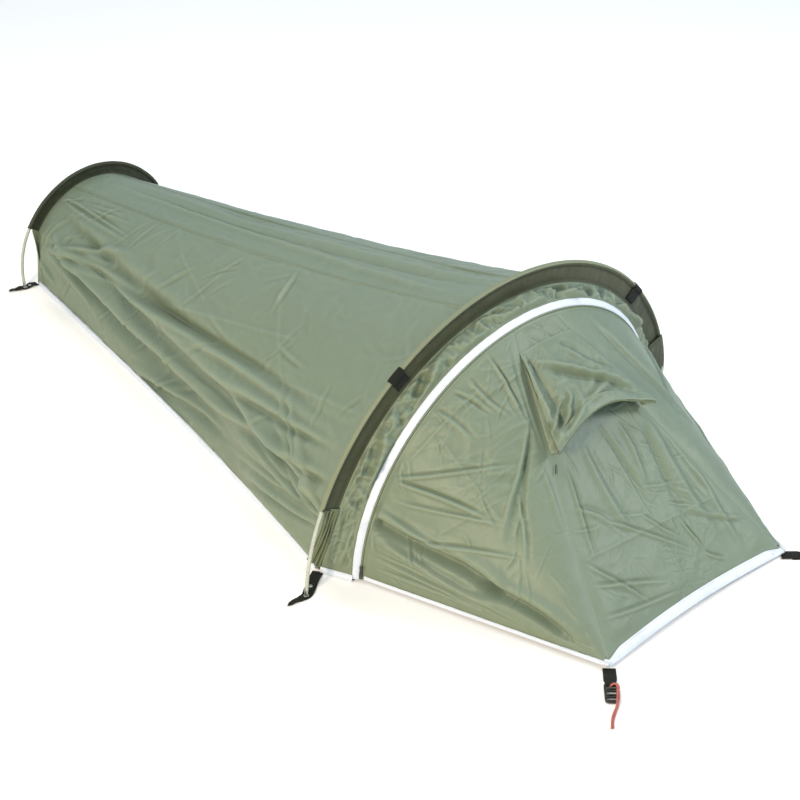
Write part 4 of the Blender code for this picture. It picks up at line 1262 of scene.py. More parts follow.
def make_zip_tape():
    angle, across = net(spaced(*ZIP_ENDS, ZIP_LENGTH, 0.004), spaced(*TAPE_EDGES, 0.025, 0.0021))
    run = np.radians(angle) * COIL.radius
    middle = np.sin(np.pi * (across - TAPE_EDGES[0]) / (TAPE_EDGES[1] - TAPE_EDGES[0]))
    out = 0.0010 * middle + 0.0007 * noise(run / 0.03, across / 0.02, 121) * middle
    out = out + 0.0003 * noise(run / 0.009, across / 0.01, 122)
    fabric("zip_tape_binding", tape_point(angle, across, out), "tent", WHITE, ("zip_tape",),
           thickness=0.0008)
    path_angle = np.linspace(ZIP_ENDS[0] + 0.3, ZIP_ENDS[1] - 0.3, 500)
    for row, at in enumerate((TAPE_EDGES[0] + 0.0022, TAPE_EDGES[1] - 0.0022)):
        path = tape_point(path_angle, at, 0.0007)
        out = tape_point(path_angle, at, 0.02) - path
        stitches(f"zip_tape_stitches_{row + 1}", path, out, "tent", THREAD)
    # a thin dark green bead along the tape's outer edge: a painted shadow line
    path = tape_point(path_angle, TAPE_EDGES[0], 0.0001)
    tube("zip_tape_edge", path, 0.0009, "tent", GREEN_THREAD, sides=8)
    angle, across = net(spaced(*ZIP_ENDS, ZIP_LENGTH, 0.005), np.linspace(TAPE_EDGES[1] - 0.003, 0.0052, 5))
    fabric("zip_flap_under_coil", tape_point(angle, across, -0.0021), "tent", SAGE,
           thickness=0.0006)


def coil_ripple(ring, turn):
    """How far a coil bulges: one slanting swell for every four rings of the bar."""
    return 1.0 + 0.22 * np.cos(ring * 2 * math.pi / 4 + turn)


def make_coil():
    """The coil's teeth: a bar that swells once for every turn of the coil."""
    angle = np.linspace(ZIP_ENDS[0] + 0.3, ZIP_ENDS[1] - 0.3, 2600)
    path = tape_point(angle, np.zeros_like(angle))
    # the teeth are coloured as a painted shadow line
    tube("zip_coil_teeth", path, 0.00150, "tent", COIL_PAINTED_SHADOW, ("zip_coil",), sides=8,
         ripple=coil_ripple)


make_zip_tape()
make_coil()


# ---- vestibule door -----------------------------------------------------------------------

SIDE_LOW = -4.2               # the side facets reach down to the ground beside the zip
HEM_HEIGHT = 0.0235           # white tape along the door's front edge
RIDGE_ROUND = 0.020           # how softly the fabric turns over the ridge between two facets
VENT_HOLE = ((0.27, 0.73), (0.685, 0.775))   # opening under the hood: share, height


def surface_normal(surface, first, second, towards):
    """The way a surface faces at one place."""
    step = 0.01
    here = surface(np.array(first), np.array(second))
    one = surface(np.array(first + step), np.array(second)) - here
    two = surface(np.array(first), np.array(second + step)) - here
    normal = unit(np.cross(one, two))
    return normal if normal @ np.array(towards) > 0 else -normal


FRONT_NORMAL = surface_normal(front_point, 0.3, 0.4, (0, -1, 1))
SIDE_NORMAL = surface_normal(side_point, 60.0, 0.4, (-1, -1, 1))
RIDGE_NORMAL = unit(FRONT_NORMAL + SIDE_NORMAL)
RIDGE_SLOPE = math.tan(math.acos(min(FRONT_NORMAL @ RIDGE_NORMAL, 1.0)))
RIDGE_TOP = tape_point(RIDGE_ANGLE, DOOR_EDGE)


def from_ridge(points, side):
    """How far each point is from the ridge on one side of the door."""
    base, top = on_side(side, DOOR_CORNER, RIDGE_TOP)
    line = unit(top - base)
    away = points - base
    return np.linalg.norm(away - (away @ line)[..., None] * line, axis=-1)


def soft_ridge(points, height, side):
    """Round a facet off towards the ridge on one side of the door, both facets by the same rule."""
    distance = from_ridge(points, side)
    radius = 0.003 + RIDGE_ROUND * ease(height, 0.0, 0.25) * ease(1.0 - height, 0.0, 0.2)
    drop = (np.sqrt(distance ** 2 + radius ** 2) - distance) * RIDGE_SLOPE
    return points - drop[..., None] * on_side(side, RIDGE_NORMAL)


def ridge_mask(points, side, width=0.035):
    """0 on a ridge, so that the folds of the two facets meet there."""
    return ease(from_ridge(points, side), 0.0, width)


def make_door_front():
    share, height = net(spaced(0.0, 1.0, 0.60, FINE_GRID), spaced(0.0, 1.0, 0.72, FINE_GRID))
    cloth = Cloth(front_point, share, height).outward((0, -1, 1))
    cloth.fold((0.97, 0.62), (0.76, 0.10), 0.0094, 0.0071, spread=1.9, skew=0.8)
    cloth.fold((0.86, 0.60), (0.70, 0.20), 0.0079, -0.0058, spread=1.6, skew=0.4)
    cloth.fold((0.70, 0.62), (0.60, 0.36), 0.0072, 0.0052, spread=1.4, skew=0.6)
    cloth.fold((0.55, 0.64), (0.52, 0.30), 0.0072, -0.0046, spread=1.5, skew=0.5)
    cloth.fold((0.30, 0.62), (0.36, 0.22), 0.0094, 0.0052, spread=1.6, skew=0.6)
    cloth.fold((0.10, 0.58), (0.10, 0.24), 0.0043, 0.0036, spread=1.5, skew=0.9)
    cloth.fold((0.20, 0.37), (0.65, 0.13), 0.0040, 0.0036, skew=0.9)
    cloth.fold((0.66, 0.25), (0.665, 0.12), 0.0038, 0.0039, skew=0.9)
    cloth.fold((0.665, 0.125), (0.74, 0.06), 0.0038, 0.0036, skew=0.9)
    cloth.fold((0.455, 0.32), (0.61, 0.18), 0.0038, 0.0033, skew=0.9)
    cloth.fold((0.03, 0.29), (0.31, 0.06), 0.0043, 0.0036, skew=0.9)
    cloth.fold((0.01, 0.23), (0.44, 0.09), 0.0043, 0.0036, skew=0.9)
    cloth.fold((0.01, 0.13), (0.52, 0.04), 0.0038, 0.0029, skew=0.9)
    cloth.fold((1.0, 0.44), (0.84, 0.03), 0.0072, 0.0042, spread=1.5, skew=0.7)
    cloth.fold((1.0, 0.58), (0.90, 0.20), 0.0050, -0.0033, spread=1.5, skew=0.6)
    cloth.fold((1.0, 0.15), (0.66, 0.28), 0.0058, 0.0036, spread=1.5, skew=0.7)
    cloth.fold((0.05, 0.45), (0.30, 0.33), 0.0058, 0.0036, spread=1.4, skew=0.8)
    cloth.fold((0.15, 0.98), (0.75, 0.80), 0.0065, 0.0029, spread=1.4, skew=0.7)
    cloth.fold((0.75, 0.99), (0.95, 0.75), 0.0058, 0.0029, spread=1.4, skew=0.7)
    cloth.crease((0.0, 0.30), (0.95, 0.26), 0.005, 0.0022)
    cloth.crease((0.52, 0.60), (0.50, 0.02), 0.005, 0.002)
    cloth.strew(304, 70, 215.0, 0.0030, 0.0017)
    cloth.add(0.0030 * swell(cloth.s, cloth.t, 0.17, 301))
    cloth.add(0.0016 * crinkle(cloth.s, cloth.t, 0.060, 302))
    cloth.add(0.0010 * veins(cloth.s, cloth.t, 0.045, 303))
    mask = cloth.edges(0.060, "w", 0.026) * cloth.edges(0.022, "e", 0.001)
    mask = mask * ridge_mask(cloth.points, "left") * ridge_mask(cloth.points, "right")
    points = soft_ridge(soft_ridge(cloth.shaped(mask), height, "left"), height, "right")
    middle_share = (share[:-1, :-1] + share[1:, 1:]) / 2
    middle_height = (height[:-1, :-1] + height[1:, 1:]) / 2
    (left, right), (low, high) = VENT_HOLE
    hole = (middle_share > left) & (middle_share < right) & (middle_height > low) & (middle_height < high)
    fabric("door_front_fabric", points, "door_front", SAGE, ("door_front",), keep=~hole)


def side_folds_left(cloth):
    """Packing creases, and the deep fold that runs from the zip down to the staked corner."""
    cloth.fold((17.0, 1.02), (15.8, 0.45), 0.0170, -0.0290, spread=1.0, skew=0.45, tails=(0.05, 0.1))
    cloth.fold((16.0, 0.60), (28.0, 0.08), 0.0160, -0.0250, spread=0.7, skew=0.45)
    cloth.fold((10.5, 0.98), (9.5, 0.40), 0.0074, 0.0062, spread=1.1, skew=0.6)
    cloth.fold((7.6, 0.97), (6.5, 0.30), 0.0044, -0.0046, spread=0.9, skew=0.7)
    cloth.fold((4.8, 0.98), (4.5, 0.45), 0.0044, 0.0043, spread=0.9, skew=0.8)
    cloth.fold((2.4, 0.96), (2.6, 0.50), 0.0038, 0.0035, spread=0.9, skew=0.8)
    cloth.fold((20.5, 0.97), (19.5, 0.60), 0.0044, 0.0043, spread=1.4, skew=0.9)
    cloth.fold((71.0, 1.0), (76.8, 0.72), 0.0044, 0.0066, spread=1.3, skew=0.9)
    cloth.fold((77.5, 0.76), (40.0, 0.52), 0.0067, 0.0081, spread=1.3, skew=0.9)
    cloth.fold((76.5, 0.70), (44.0, 0.48), 0.0052, -0.0055, spread=1.3)
    cloth.fold((62.0, 0.60), (42.0, 0.42), 0.0044, 0.0046, spread=1.2, skew=0.9)
    cloth.fold((28.0, 1.0), (67.0, 0.65), 0.0038, 0.0046, skew=0.9)
    cloth.fold((29.0, 0.99), (44.5, 0.59), 0.0044, 0.0062, skew=0.95)
    cloth.fold((14.5, 0.89), (48.0, 0.42), 0.0038, 0.0039, skew=0.9)
    cloth.fold((24.0, 0.97), (50.0, 0.52), 0.0038, 0.0027, skew=0.9)
    cloth.fold((75.5, 0.62), (81.5, 0.36), 0.0074, 0.0058, skew=0.7)
    cloth.fold((79.0, 0.98), (79.5, 0.60), 0.0044, -0.0046, skew=0.6)
    cloth.fold((63.0, 0.98), (70.0, 0.78), 0.0052, 0.0050, skew=0.8)
    cloth.fold((50.0, 1.0), (56.0, 0.80), 0.0059, 0.0046, skew=0.8)
    cloth.fold((57.0, 0.99), (66.0, 0.82), 0.0044, -0.0039, skew=0.8)
    cloth.crease((36.0, 0.96), (72.0, 0.93), 0.004, 0.0022)
    cloth.crease((47.0, 0.93), (47.0, 0.55), 0.005, 0.002)
    cloth.crease((24.0, 0.75), (60.0, 0.60), 0.005, 0.002)
    crumpled = ease(cloth.first, 30.0, 52.0) * ease(cloth.second, 0.50, 0.70)
    cloth.add((0.0005 + 0.0032 * crumpled) * veins(cloth.points[..., 1], cloth.points[..., 2], 0.034, 335))
    cloth.add(0.0042 * crumpled * crinkle(cloth.points[..., 1], cloth.points[..., 2], 0.040, 336))
    cloth.strew(337, 46, 150.0, 0.0030, 0.0017)


def side_folds_right(cloth):
    """The other side facet hangs with folds of its own."""
    cloth.fold((21.0, 1.0), (19.0, 0.42), 0.020, -0.011, spread=1.2, skew=0.4)
    cloth.fold((12.0, 0.95), (24.0, 0.16), 0.016, 0.008, spread=0.9, skew=0.5)
    cloth.fold((69.0, 0.98), (48.0, 0.50), 0.009, 0.006, spread=1.4, skew=0.8)
    cloth.fold((34.0, 1.0), (62.0, 0.60), 0.007, 0.0050, skew=0.8)
    cloth.fold((28.0, 0.80), (52.0, 0.40), 0.006, 0.0040, skew=0.8)
    cloth.crease((44.0, 0.95), (66.0, 0.50), 0.005, 0.0014)


def make_door_side(side, folds, seed):
    angle, height = net(spaced(SIDE_LOW, RIDGE_ANGLE, 0.72, FINE_GRID), spaced(0.03, 1.0, 0.66, FINE_GRID))
    cloth = Cloth(side_point, angle, height).outward((-1, -1, 0.5))
    folds(cloth)
    run = np.radians(angle) * 0.47 * height
    out = height * 0.68
    cloth.add(0.0032 * swell(run, out, 0.16, seed))
    cloth.add(0.0014 * crinkle(run, out, 0.060, seed + 1))
    cloth.add(0.0008 * veins(run, out, 0.040, seed + 2))
    rim = cloth.edges(0.018, "e", 0.001) * cloth.edges(0.034, "n", 0.0125) * ease(height, 0.03, 0.16)
    points = soft_ridge(cloth.shaped(rim * ridge_mask(cloth.points, "left")), height, "left")
    points[..., 2] = np.maximum(points[..., 2], 0.0022)
    body = f"door_{side}"
    panel = fabric(f"{body}_fabric", on_side(side, points), None, SAGE, (body,))
    bend_over_ridge(panel, side)


def bend_over_ridge(obj, side):
    """Bake the panel's place into its mesh; the ridge's line and the way in from it are worked out but not
    used.
    """
    base, top, facing, within = on_side(side, DOOR_CORNER, RIDGE_TOP, SIDE_NORMAL,
                                        side_point(np.array(30.0), np.array(0.6)))
    middle = (base + top) / 2
    line = unit(middle - base)
    inward = np.cross(facing, line)
    inward = inward * np.sign(inward @ (within - middle))
    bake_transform(obj)


def make_door_hems():
    share = np.linspace(-0.002, 1.002, 220)
    up = unit(front_point(share, np.full_like(share, 0.04)) - front_point(share, np.zeros_like(share)))
    low = hem_point(share) + np.array((0.0, -0.0004, 0.0004))
    narrowed = 0.56 + 0.44 * ease(0.5 - np.abs(share - 0.5), -0.01, 0.085)
    folded_binding("door_front_binding", low, up * narrowed[:, None], everywhere(DOOR_NORMAL, up),
                   HEM_HEIGHT, "door_front", ("door_hem_front",), seed=311)
    height = np.linspace(0.0, 0.992, 220)
    foot = np.full_like(height, SIDE_LOW)
    low = side_point(foot, height)
    up = side_point(foot + 0.5, np.maximum(height, 0.02)) - side_point(foot, np.maximum(height, 0.02))
    up = unit(up)
    out = everywhere((-0.93, -0.30, 0.18), low)
    low[:, 2] = np.maximum(low[:, 2], 0.0030)
    for side in SIDES:
        folded_binding(f"door_{side}_binding", *on_side(side, low, up, out), 0.0120, f"door_{side}",
                       (f"door_hem_{side}",), seed=321)
        make_corner_patch(side)


def make_corner_patch(side):
    """White tape turned round the staked corner, where the two hems meet."""
    round_it, up = net(np.linspace(-1.0, 1.0, 41), np.linspace(0.0, 1.0, 14))
    front = mix(DOOR_CORNER, hem_point(0.050), np.maximum(round_it, 0.0))
    aside = mix(DOOR_CORNER, side_point(np.array(SIDE_LOW), 0.050), np.maximum(-round_it, 0.0))
    path = front + aside - DOOR_CORNER
    path[..., 2] = np.maximum(path[..., 2], 0.0030)
    rounding = np.array((0.45, 0.55, 0.0)) * 0.0030 * (1.0 - np.abs(round_it[..., None])) ** 2
    lean = np.array((0.48, 0.44, 0.76))
    tall = 0.0142 + 0.0012 * round_it
    outward = np.array((-0.60, -0.62, 0.45)) * 0.0024 * (1.0 - 0.45 * up[..., None])
    points = path + rounding + (up * tall)[..., None] * lean + outward
    points[..., 2] = np.maximum(points[..., 2], 0.0014)
    fabric(f"door_corner_patch_{side}", on_side(side, points), "door_front", WHITE,
           thickness=0.0008)


def make_door_stitches():
    """The row that sews each facet to the zip."""
    share = np.linspace(0.02, 0.98, 60)
    path = front_point(share, np.full_like(share, 0.991), 0.0008)
    stitches("door_front_zip_stitches", path, everywhere(DOOR_NORMAL, path), "door_front", GREEN_THREAD)
    angle = np.linspace(SIDE_LOW + 1.0, RIDGE_ANGLE - 5.0, 320)
    sewn = side_point(angle, np.full_like(angle, 0.991))
    for side in SIDES:
        path, out = on_side(side, sewn, everywhere(SIDE_NORMAL, sewn))
        stitches(f"door_{side}_zip_stitches", path + out * 0.0008, out, f"door_{side}", GREEN_THREAD)


make_door_front()
make_door_side("left", side_folds_left, 331)
make_door_side("right", side_folds_right, 341)
make_door_hems()
make_door_stitches()


# ---- vent hood ----------------------------------------------------------------------------

HOOD_BASE = front_point(np.array(0.5), np.array(0.75), 0.0)
LIP_DROP = 0.885              # where the lip's hem band is sewn on


def tilt_with_hood(obj):
    """Bake the place of a piece sewn into the hood into its mesh."""
    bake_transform(obj)


def bill_point(share, drop):
    """The hood as sewn: it leaves the door's surface without a step at its top seam."""
    flush = (0.0034 * (1.0 - ease(drop, 0.0, 0.35)))[..., None] * DOOR_NORMAL
    return hood_point(share, drop) - flush


def hood_shape(share, drop):
    """Hood surface with its folds: pulled from the tips, crumpled towards the left edge and the lip."""
    cloth = Cloth(bill_point, share, drop).outward((0, -1, 1))
    cloth.fold((0.05, 0.04), (1.0, 0.88), 0.010, 0.0115, spread=1.2, skew=-0.2)
    cloth.fold((0.16, 0.22), (0.98, 0.96), 0.010, -0.0135, spread=1.1)
    cloth.fold((0.38, 0.85), (0.86, 0.72), 0.008, 0.0101, spread=1.4, skew=0.8)
    cloth.fold((0.50, 0.10), (0.98, 0.66), 0.010, 0.0081, spread=1.4, skew=0.7)
    cloth.fold((0.055, -0.05), (0.035, 1.0), 0.0075, 0.0101, spread=1.2, skew=0.0, tails=(0.08, 0.03))
    cloth.fold((0.135, 0.10), (0.13, 0.95), 0.010, -0.0115, spread=1.3, tails=(0.1, 0.1))
    cloth.fold((0.02, 0.97), (0.30, 0.70), 0.0075, 0.0128, spread=1.4, skew=0.8)
    cloth.fold((0.05, 0.99), (0.44, 0.82), 0.0070, 0.0115, spread=1.3, skew=0.8)
    cloth.fold((0.03, 0.86), (0.22, 0.60), 0.0065, 0.0095, spread=1.3, skew=0.8)
    cloth.fold((0.20, 0.78), (0.36, 0.64), 0.0060, 0.0074, skew=0.8)
    cloth.fold((0.60, 0.99), (0.60, 0.55), 0.030, 0.0081, spread=1.0)
    cloth.add(0.0040 * swell(cloth.s, cloth.t, 0.07, 401))
    cloth.add(0.0036 * crinkle(cloth.s, cloth.t, 0.036, 402))
    cloth.add(0.0030 * veins(cloth.s, cloth.t, 0.030, 403) * ease(0.5 - share, 0.0, 0.3))
    mask = ease(drop, 0.0, 0.14) * ease(1.0 - drop, -0.16, 0.20)
    mask = mask * ease(share, -0.06, 0.03) * ease(1.0 - share, -0.02, 0.06)
    return cloth, mask


def make_hood():
    share, drop = net(spaced(0.0, 1.0, 0.30, 0.0028), spaced(0.0, 1.0, 0.24, 0.0028))
    cloth, mask = hood_shape(share, drop)
    hood = fabric("vent_hood_fabric", cloth.shaped(mask), None, SAGE, ("vent_hood",))
    tilt_with_hood(hood)
    share, drop = net(spaced(-0.004, 1.004, 0.32, 0.0028), np.linspace(LIP_DROP, 1.004, 14))
    cloth, mask = hood_shape(share, drop)
    puff = 0.0020 + 0.0026 * np.sin(np.pi * (drop - LIP_DROP) / (1.004 - LIP_DROP)) ** 0.6
    puffed = cloth.shaped(mask) + cloth.normal * puff[..., None]
    band = fabric("vent_lip_band", puffed, None, SAGE, thickness=0.0012)
    tilt_with_hood(band)
    share = np.linspace(-0.004, 1.004, 160)
    line, line_mask = hood_shape(*net(share, np.array((0.97, 1.004, 1.012))))
    rolled = line.shaped(line_mask)[:, 1] - DOOR_NORMAL * 0.0012
    # the roll under the lip wears the sage with painted shade
    lip = tube("vent_lip_roll", rolled, 0.0026, None, SHADED_SAGE, ("vent_lip_batten",),
               sides=12)
    tilt_with_hood(lip)
    sewn, sewn_mask = hood_shape(*net(share, LIP_DROP + np.array((-0.005, 0.012, 0.03))))
    path = sewn.shaped(sewn_mask)[:, 1] + DOOR_NORMAL * 0.0028
    tilt_with_hood(stitches("vent_lip_stitches", path, everywhere(DOOR_NORMAL, path), None, GREEN_THREAD))


def make_gusset(side, edge, inner_edge, inward):
    """The small panel that closes one side of the hood down to the door, pleated as it stands open."""
    drop, depth = net(spaced(0.02, 1.0, 0.24, 0.0030), spaced(0.0, 1.0, 0.042, 0.0030))
    outer = bill_point(np.full_like(drop, edge), drop)
    lip = VENT_TOP + (VENT_TIP - VENT_TOP) * drop
    inner = front_point(np.full_like(drop, inner_edge), lip + 0.008 * drop, 0.001)
    points = mix(outer, inner, depth)
    pleat = np.sin(np.pi * depth) * drop
    sink = pleat * (0.010 + 0.004 * noise(drop * 9.0, depth * 2.0, 411))
    ripple = 0.0030 * np.sin(np.pi * depth) * noise(drop * 16.0, depth * 3.0, 412) * drop
    points = points + np.array((inward, 0.0, 0.0)) * sink[..., None] + DOOR_NORMAL * ripple[..., None]
    tilt_with_hood(fabric(f"vent_gusset_{side}", points, None, SAGE))


def make_tip_tack(side, edge, inward):
    """The dark bar tack at one end of the lip."""
    tip = hood_point(np.array(edge), np.array(0.985))
    across = np.array((0.0025 * inward, 0.0, 0.0))
    path = np.stack([tip - across, tip + (0.0, -0.001, 0.001), tip + across])
    tilt_with_hood(tube(f"vent_tip_tack_{side}", path, 0.0030, None, ZIP, sides=10))


def make_hood_ends():
    for side, edge, inner_edge, inward in (("left", 0.0, 0.012, 1.0), ("right", 1.0, 0.988, -1.0)):
        make_gusset(side, edge, inner_edge, inward)
        make_tip_tack(side, edge, inward)
    dash = front_point(np.array((0.035, 0.022, 0.008)), np.array((0.583, 0.573, 0.560)), 0.0008)
    tube("vent_tip_stitch", dash, 0.0012, "door_front", DARK_THREAD, sides=8)


def make_vent_net():
    (left, right), (low, high) = VENT_HOLE
    share, height = net(np.linspace(left - 0.03, right + 0.03, 30),
                        np.linspace(low - 0.012, high + 0.012, 14))
    fabric("vent_net_mesh", front_point(share, height, -0.0022), "door_front", MESH,
           ("vent_net",), thickness=0.0004)
    corners = np.array([(left, low), (right, low), (right, high), (left, high), (left, low)])
    path = np.concatenate([mix(a, b, np.linspace(0, 1, 24)) for a, b in zip(corners, corners[1:])])
    line = front_point(path[:, 0], path[:, 1], 0.0006)
    tube("vent_opening_binding", line, 0.0022, "door_front", SAGE, sides=10)


make_hood()
make_hood_ends()
make_vent_net()


# ---- inner net door -----------------------------------------------------------------------

def make_net_door():
    low = float(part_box("net_door")[0][2])
    angle, share = net(spaced(0.4, 86.0, 0.46, 0.008), spaced(0.0, 1.0, 0.9, 0.010))
    left = NET.point(angle, NET.radius - 0.0115)
    points = mix(left, flipped(left), share)
    slack = np.sin(np.pi * share) * np.sin(np.radians(angle * 2)) * noise(share * 3, angle / 30, 501)
    points[..., 1] += 0.004 * slack
    points[..., 2] = np.maximum(points[..., 2], low + 0.001)
    fabric("net_door_mesh", points, "net_door", MESH, ("net_door",), thickness=0.0004)
    around, aside = net(np.linspace(0.5, 179.5, 240), np.array((-0.004, 0.004)))
    fabric("net_door_edge_tape", NET.point(around, NET.radius - 0.0155 + aside, 0.0012),
           "net_door", WEB, thickness=0.0008)
    sill = NET.point(0.5, NET.radius - 0.014)
    across = np.linspace(-1.0, 1.0, 120) * -sill[0]
    rows = [np.stack([across, np.full_like(across, sill[1]), np.full_like(across, sill[2] + lift)], axis=-1)
            for lift in (-0.0005, 0.0075)]
    fabric("net_door_sill_tape", np.stack(rows), "net_door", WEB, thickness=0.0010)


def make_net_band():
    """The fabric band that carries the net door's zip, from the front zip's tape inwards."""
    angle, across = net(spaced(-3.0, 183.0, 1.5, 0.006), np.linspace(0.0, 1.0, 12))
    outer = tape_point(angle, TAPE_EDGES[0] + 0.001, -0.0020)
    inner = NET.point(angle, NET.radius - 0.0060, 0.0)
    points = mix(outer, inner, across)
    slack = 0.0022 * np.sin(np.pi * across) * noise(np.radians(angle) * 0.46 / 0.035, across * 1.5, 511)
    points[..., 1] += slack
    points[..., 2] = np.maximum(points[..., 2], 0.0016)
    fabric("net_door_band_fabric", points, "tent", SAGE, ("net_door_band",))
    turn = np.linspace(1.5, 178.5, 1500)
    tube("net_zip_teeth", NET.point(turn, NET.radius - 0.0078, 0.0), 0.0012, "tent", ZIP,
         sides=8, ripple=coil_ripple)


def make_sill():
    """The low wall of ground sheet under the net door."""
    sill = NET.point(0.0, NET.radius - 0.014)
    share, up = net(spaced(0.0, 1.0, 0.92, 0.010), np.linspace(0.0, 1.0, 9))
    half = -sill[0] + 0.006 * (1.0 - up)
    x = half * (2.0 * share - 1.0)
    y = sill[1] - 0.016 * (1.0 - up) + 0.0025 * np.sin(np.pi * up) * noise(share * 18.0, up, 521)
    z = 0.0015 + (sill[2] - 0.0035) * up
    fabric("sill_fabric", np.stack([x, y, z], axis=-1), "tent", GROUND)


make_net_door()
make_net_band()
make_sill()


# ---- hard fittings ------------------------------------------------------------------------

def fitting(name, outlines, thickness, bevel, matrix, body, look, nodes=()):
    """A moulded plate: outer outline first, holes after, every edge rounded; X and Y in the matrix."""
    curve = bpy.data.curves.new(name, "CURVE")
    curve.dimensions = "2D"
    curve.fill_mode = "BOTH"
    curve.extrude = thickness / 2 - bevel
    curve.bevel_depth = bevel
    curve.bevel_resolution = 3
    curve.offset = -bevel
    for outline in outlines:
        spline = curve.splines.new("POLY")
        spline.points.add(len(outline) - 1)
        spline.use_cyclic_u = True
        for spot, (x, y) in zip(spline.points, outline):
            spot.co = (x, y, 0.0, 1.0)
    holder = bpy.data.objects.new(name + "_outline", curve)
    bpy.context.scene.collection.objects.link(holder)
    bpy.context.view_layer.update()
    mesh = bpy.data.meshes.new_from_object(holder.evaluated_get(bpy.context.evaluated_depsgraph_get()))
    bpy.data.objects.remove(holder)
    obj = place(name, mesh)
    close_ends(obj)
    if not mesh.uv_layers:
        mesh.uv_layers.new(name="weave")
    mesh.transform(matrix)
    mark_sharp(obj, 35)
    return piece(name, body, look, *nodes)


def rounded_rectangle(middle_x, length, width, radius, steps=6):
    points = []
    for corner_x, corner_y, start in ((1, 1, 0), (-1, 1, 90), (-1, -1, 180), (1, -1, 270)):
        for turn in np.radians(np.linspace(start, start + 90, steps)):
            points.append((middle_x + corner_x * (length / 2 - radius) + radius * math.cos(turn),
                           corner_y * (width / 2 - radius) + radius * math.sin(turn)))
    return points


def ring(name, middle, normal, radius, thickness, body, look):
    """A pressed eyelet or round ring lying square to its normal."""
    normal = Vector(normal).normalized()
    side = normal.orthogonal().normalized()
    over = normal.cross(side)
    around, round_it = net(full_turn(28), full_turn(10))
    way = np.cos(around)[..., None] * np.array(side) + np.sin(around)[..., None] * np.array(over)
    out = radius + thickness * np.cos(round_it)
    rise = thickness * 0.7 * np.sin(round_it)
    points = np.array(middle) + out[..., None] * way + rise[..., None] * np.array(normal)
    close_ends(place(name, grid_mesh(name, points, closed_rows=True, closed_columns=True)))
    return piece(name, body, look)


def frame_of(node, heading, up=(0.0, 0.0, 1.0)):
    """A matrix at the middle of a node: X along the heading, Z up."""
    low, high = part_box(node)
    forward = Vector(heading).normalized()
    normal = Vector(up).normalized()
    side = normal.cross(forward).normalized()
    turn = Matrix((forward, side, normal)).transposed().to_4x4()
    return Matrix.Translation((low + high) / 2) @ turn


def make_slider(name, length, width, height, along, up):
    """Zip slider: a waisted plate over a plate, with the bridge that holds the pull."""
    matrix = frame_of(name, along, up)
    plan = []
    for turn in full_turn(36):
        x = length / 2 * math.cos(turn)
        waist = 1.0 - 0.22 * math.exp(-((x + length * 0.12) / (length * 0.22)) ** 2)
        plan.append((x, width / 2 * waist * math.copysign(abs(math.sin(turn)) ** 0.55, math.sin(turn))))
    lowered = matrix @ Matrix.Translation((0, 0, -height * 0.14))
    fitting(f"{name}_body", [plan], height * 0.62, height * 0.24, lowered, name, ZIP, (name,))
    hump = ((-0.34, 0.05), (-0.30, 0.50), (-0.1, 0.72), (0.14, 0.66), (0.28, 0.40), (0.30, 0.05))
    bridge = np.array([matrix @ Vector((length * x, 0.0, height * z)) for x, z in hump])
    tube(f"{name}_bridge", bridge, height * 0.20, name, ZIP, sides=10)


def make_zip_sliders():
    along = tape_point(0.6, 0.0) - tape_point(0.0, 0.0)
    out = tape_point(0.0, 0.0, 0.01) - tape_point(0.0, 0.0)
    make_slider("zip_slider", 0.0135, 0.0092, 0.0044, along, out)
    pull = frame_of("zip_pull", along, out)
    outline = rounded_rectangle(0.0, 0.0225, 0.0072, 0.0024)
    fitting("zip_pull_tab", [outline, rounded_rectangle(-0.0070, 0.0046, 0.0036, 0.0016)[::-1],
                             rounded_rectangle(0.0088, 0.0030, 0.0036, 0.0010)[::-1]],
            0.0016, 0.0005, pull, "zip_pull", ZIP, ("zip_pull",))
    along = NET.point(4.6) - NET.point(4.0)
    make_slider("net_zip_slider", 0.0125, 0.0088, 0.0036, along,
                NET.point(4.0, None, -0.01) - NET.point(4.0))


BUCKLE_WIDTH = 0.0305


def make_buckle(side):
    """Ladder-lock buckle: rounded frame, three bars, a raised thumb edge."""
    node = f"corner_buckle_{side}"
    low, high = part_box(node)
    lift = joint_place(f"corner_buckle_tilt_{side}")
    swing = joint_place(f"corner_cord_swing_{side}")
    heading = Vector(swing - lift).normalized()
    matrix = frame_of(node, heading)
    length = (high - low)[1] / abs(heading[1]) - BUCKLE_WIDTH * abs(heading[0] / heading[1])
    outer = rounded_rectangle(0.0, length, BUCKLE_WIDTH, 0.0090)
    slots = [rounded_rectangle(x, 0.0078, 0.0210, 0.0020)[::-1] for x in (-0.019, 0.0, 0.019)]
    lowered = matrix @ Matrix.Translation((0, 0, -0.0009))
    fitting(f"{node}_frame", [outer] + slots, 0.0058, 0.0016, lowered, node, BUCKLE,
            (node,))
    for number, x in enumerate((-0.0095, 0.0095)):
        bar = np.array([matrix @ Vector((x, y, 0.0026 + 0.0008 * math.cos(y * 260)))
                        for y in np.linspace(-0.0118, 0.0118, 12)])
        tube(f"{node}_bar_{number + 1}", bar, 0.0019, node, BUCKLE, sides=10)
    thumb = np.array([matrix @ Vector((0.0265, y, 0.0022)) for y in np.linspace(-0.0115, 0.0115, 12)])
    tube(f"{node}_thumb_edge", thumb, 0.0022, node, BUCKLE, sides=10)


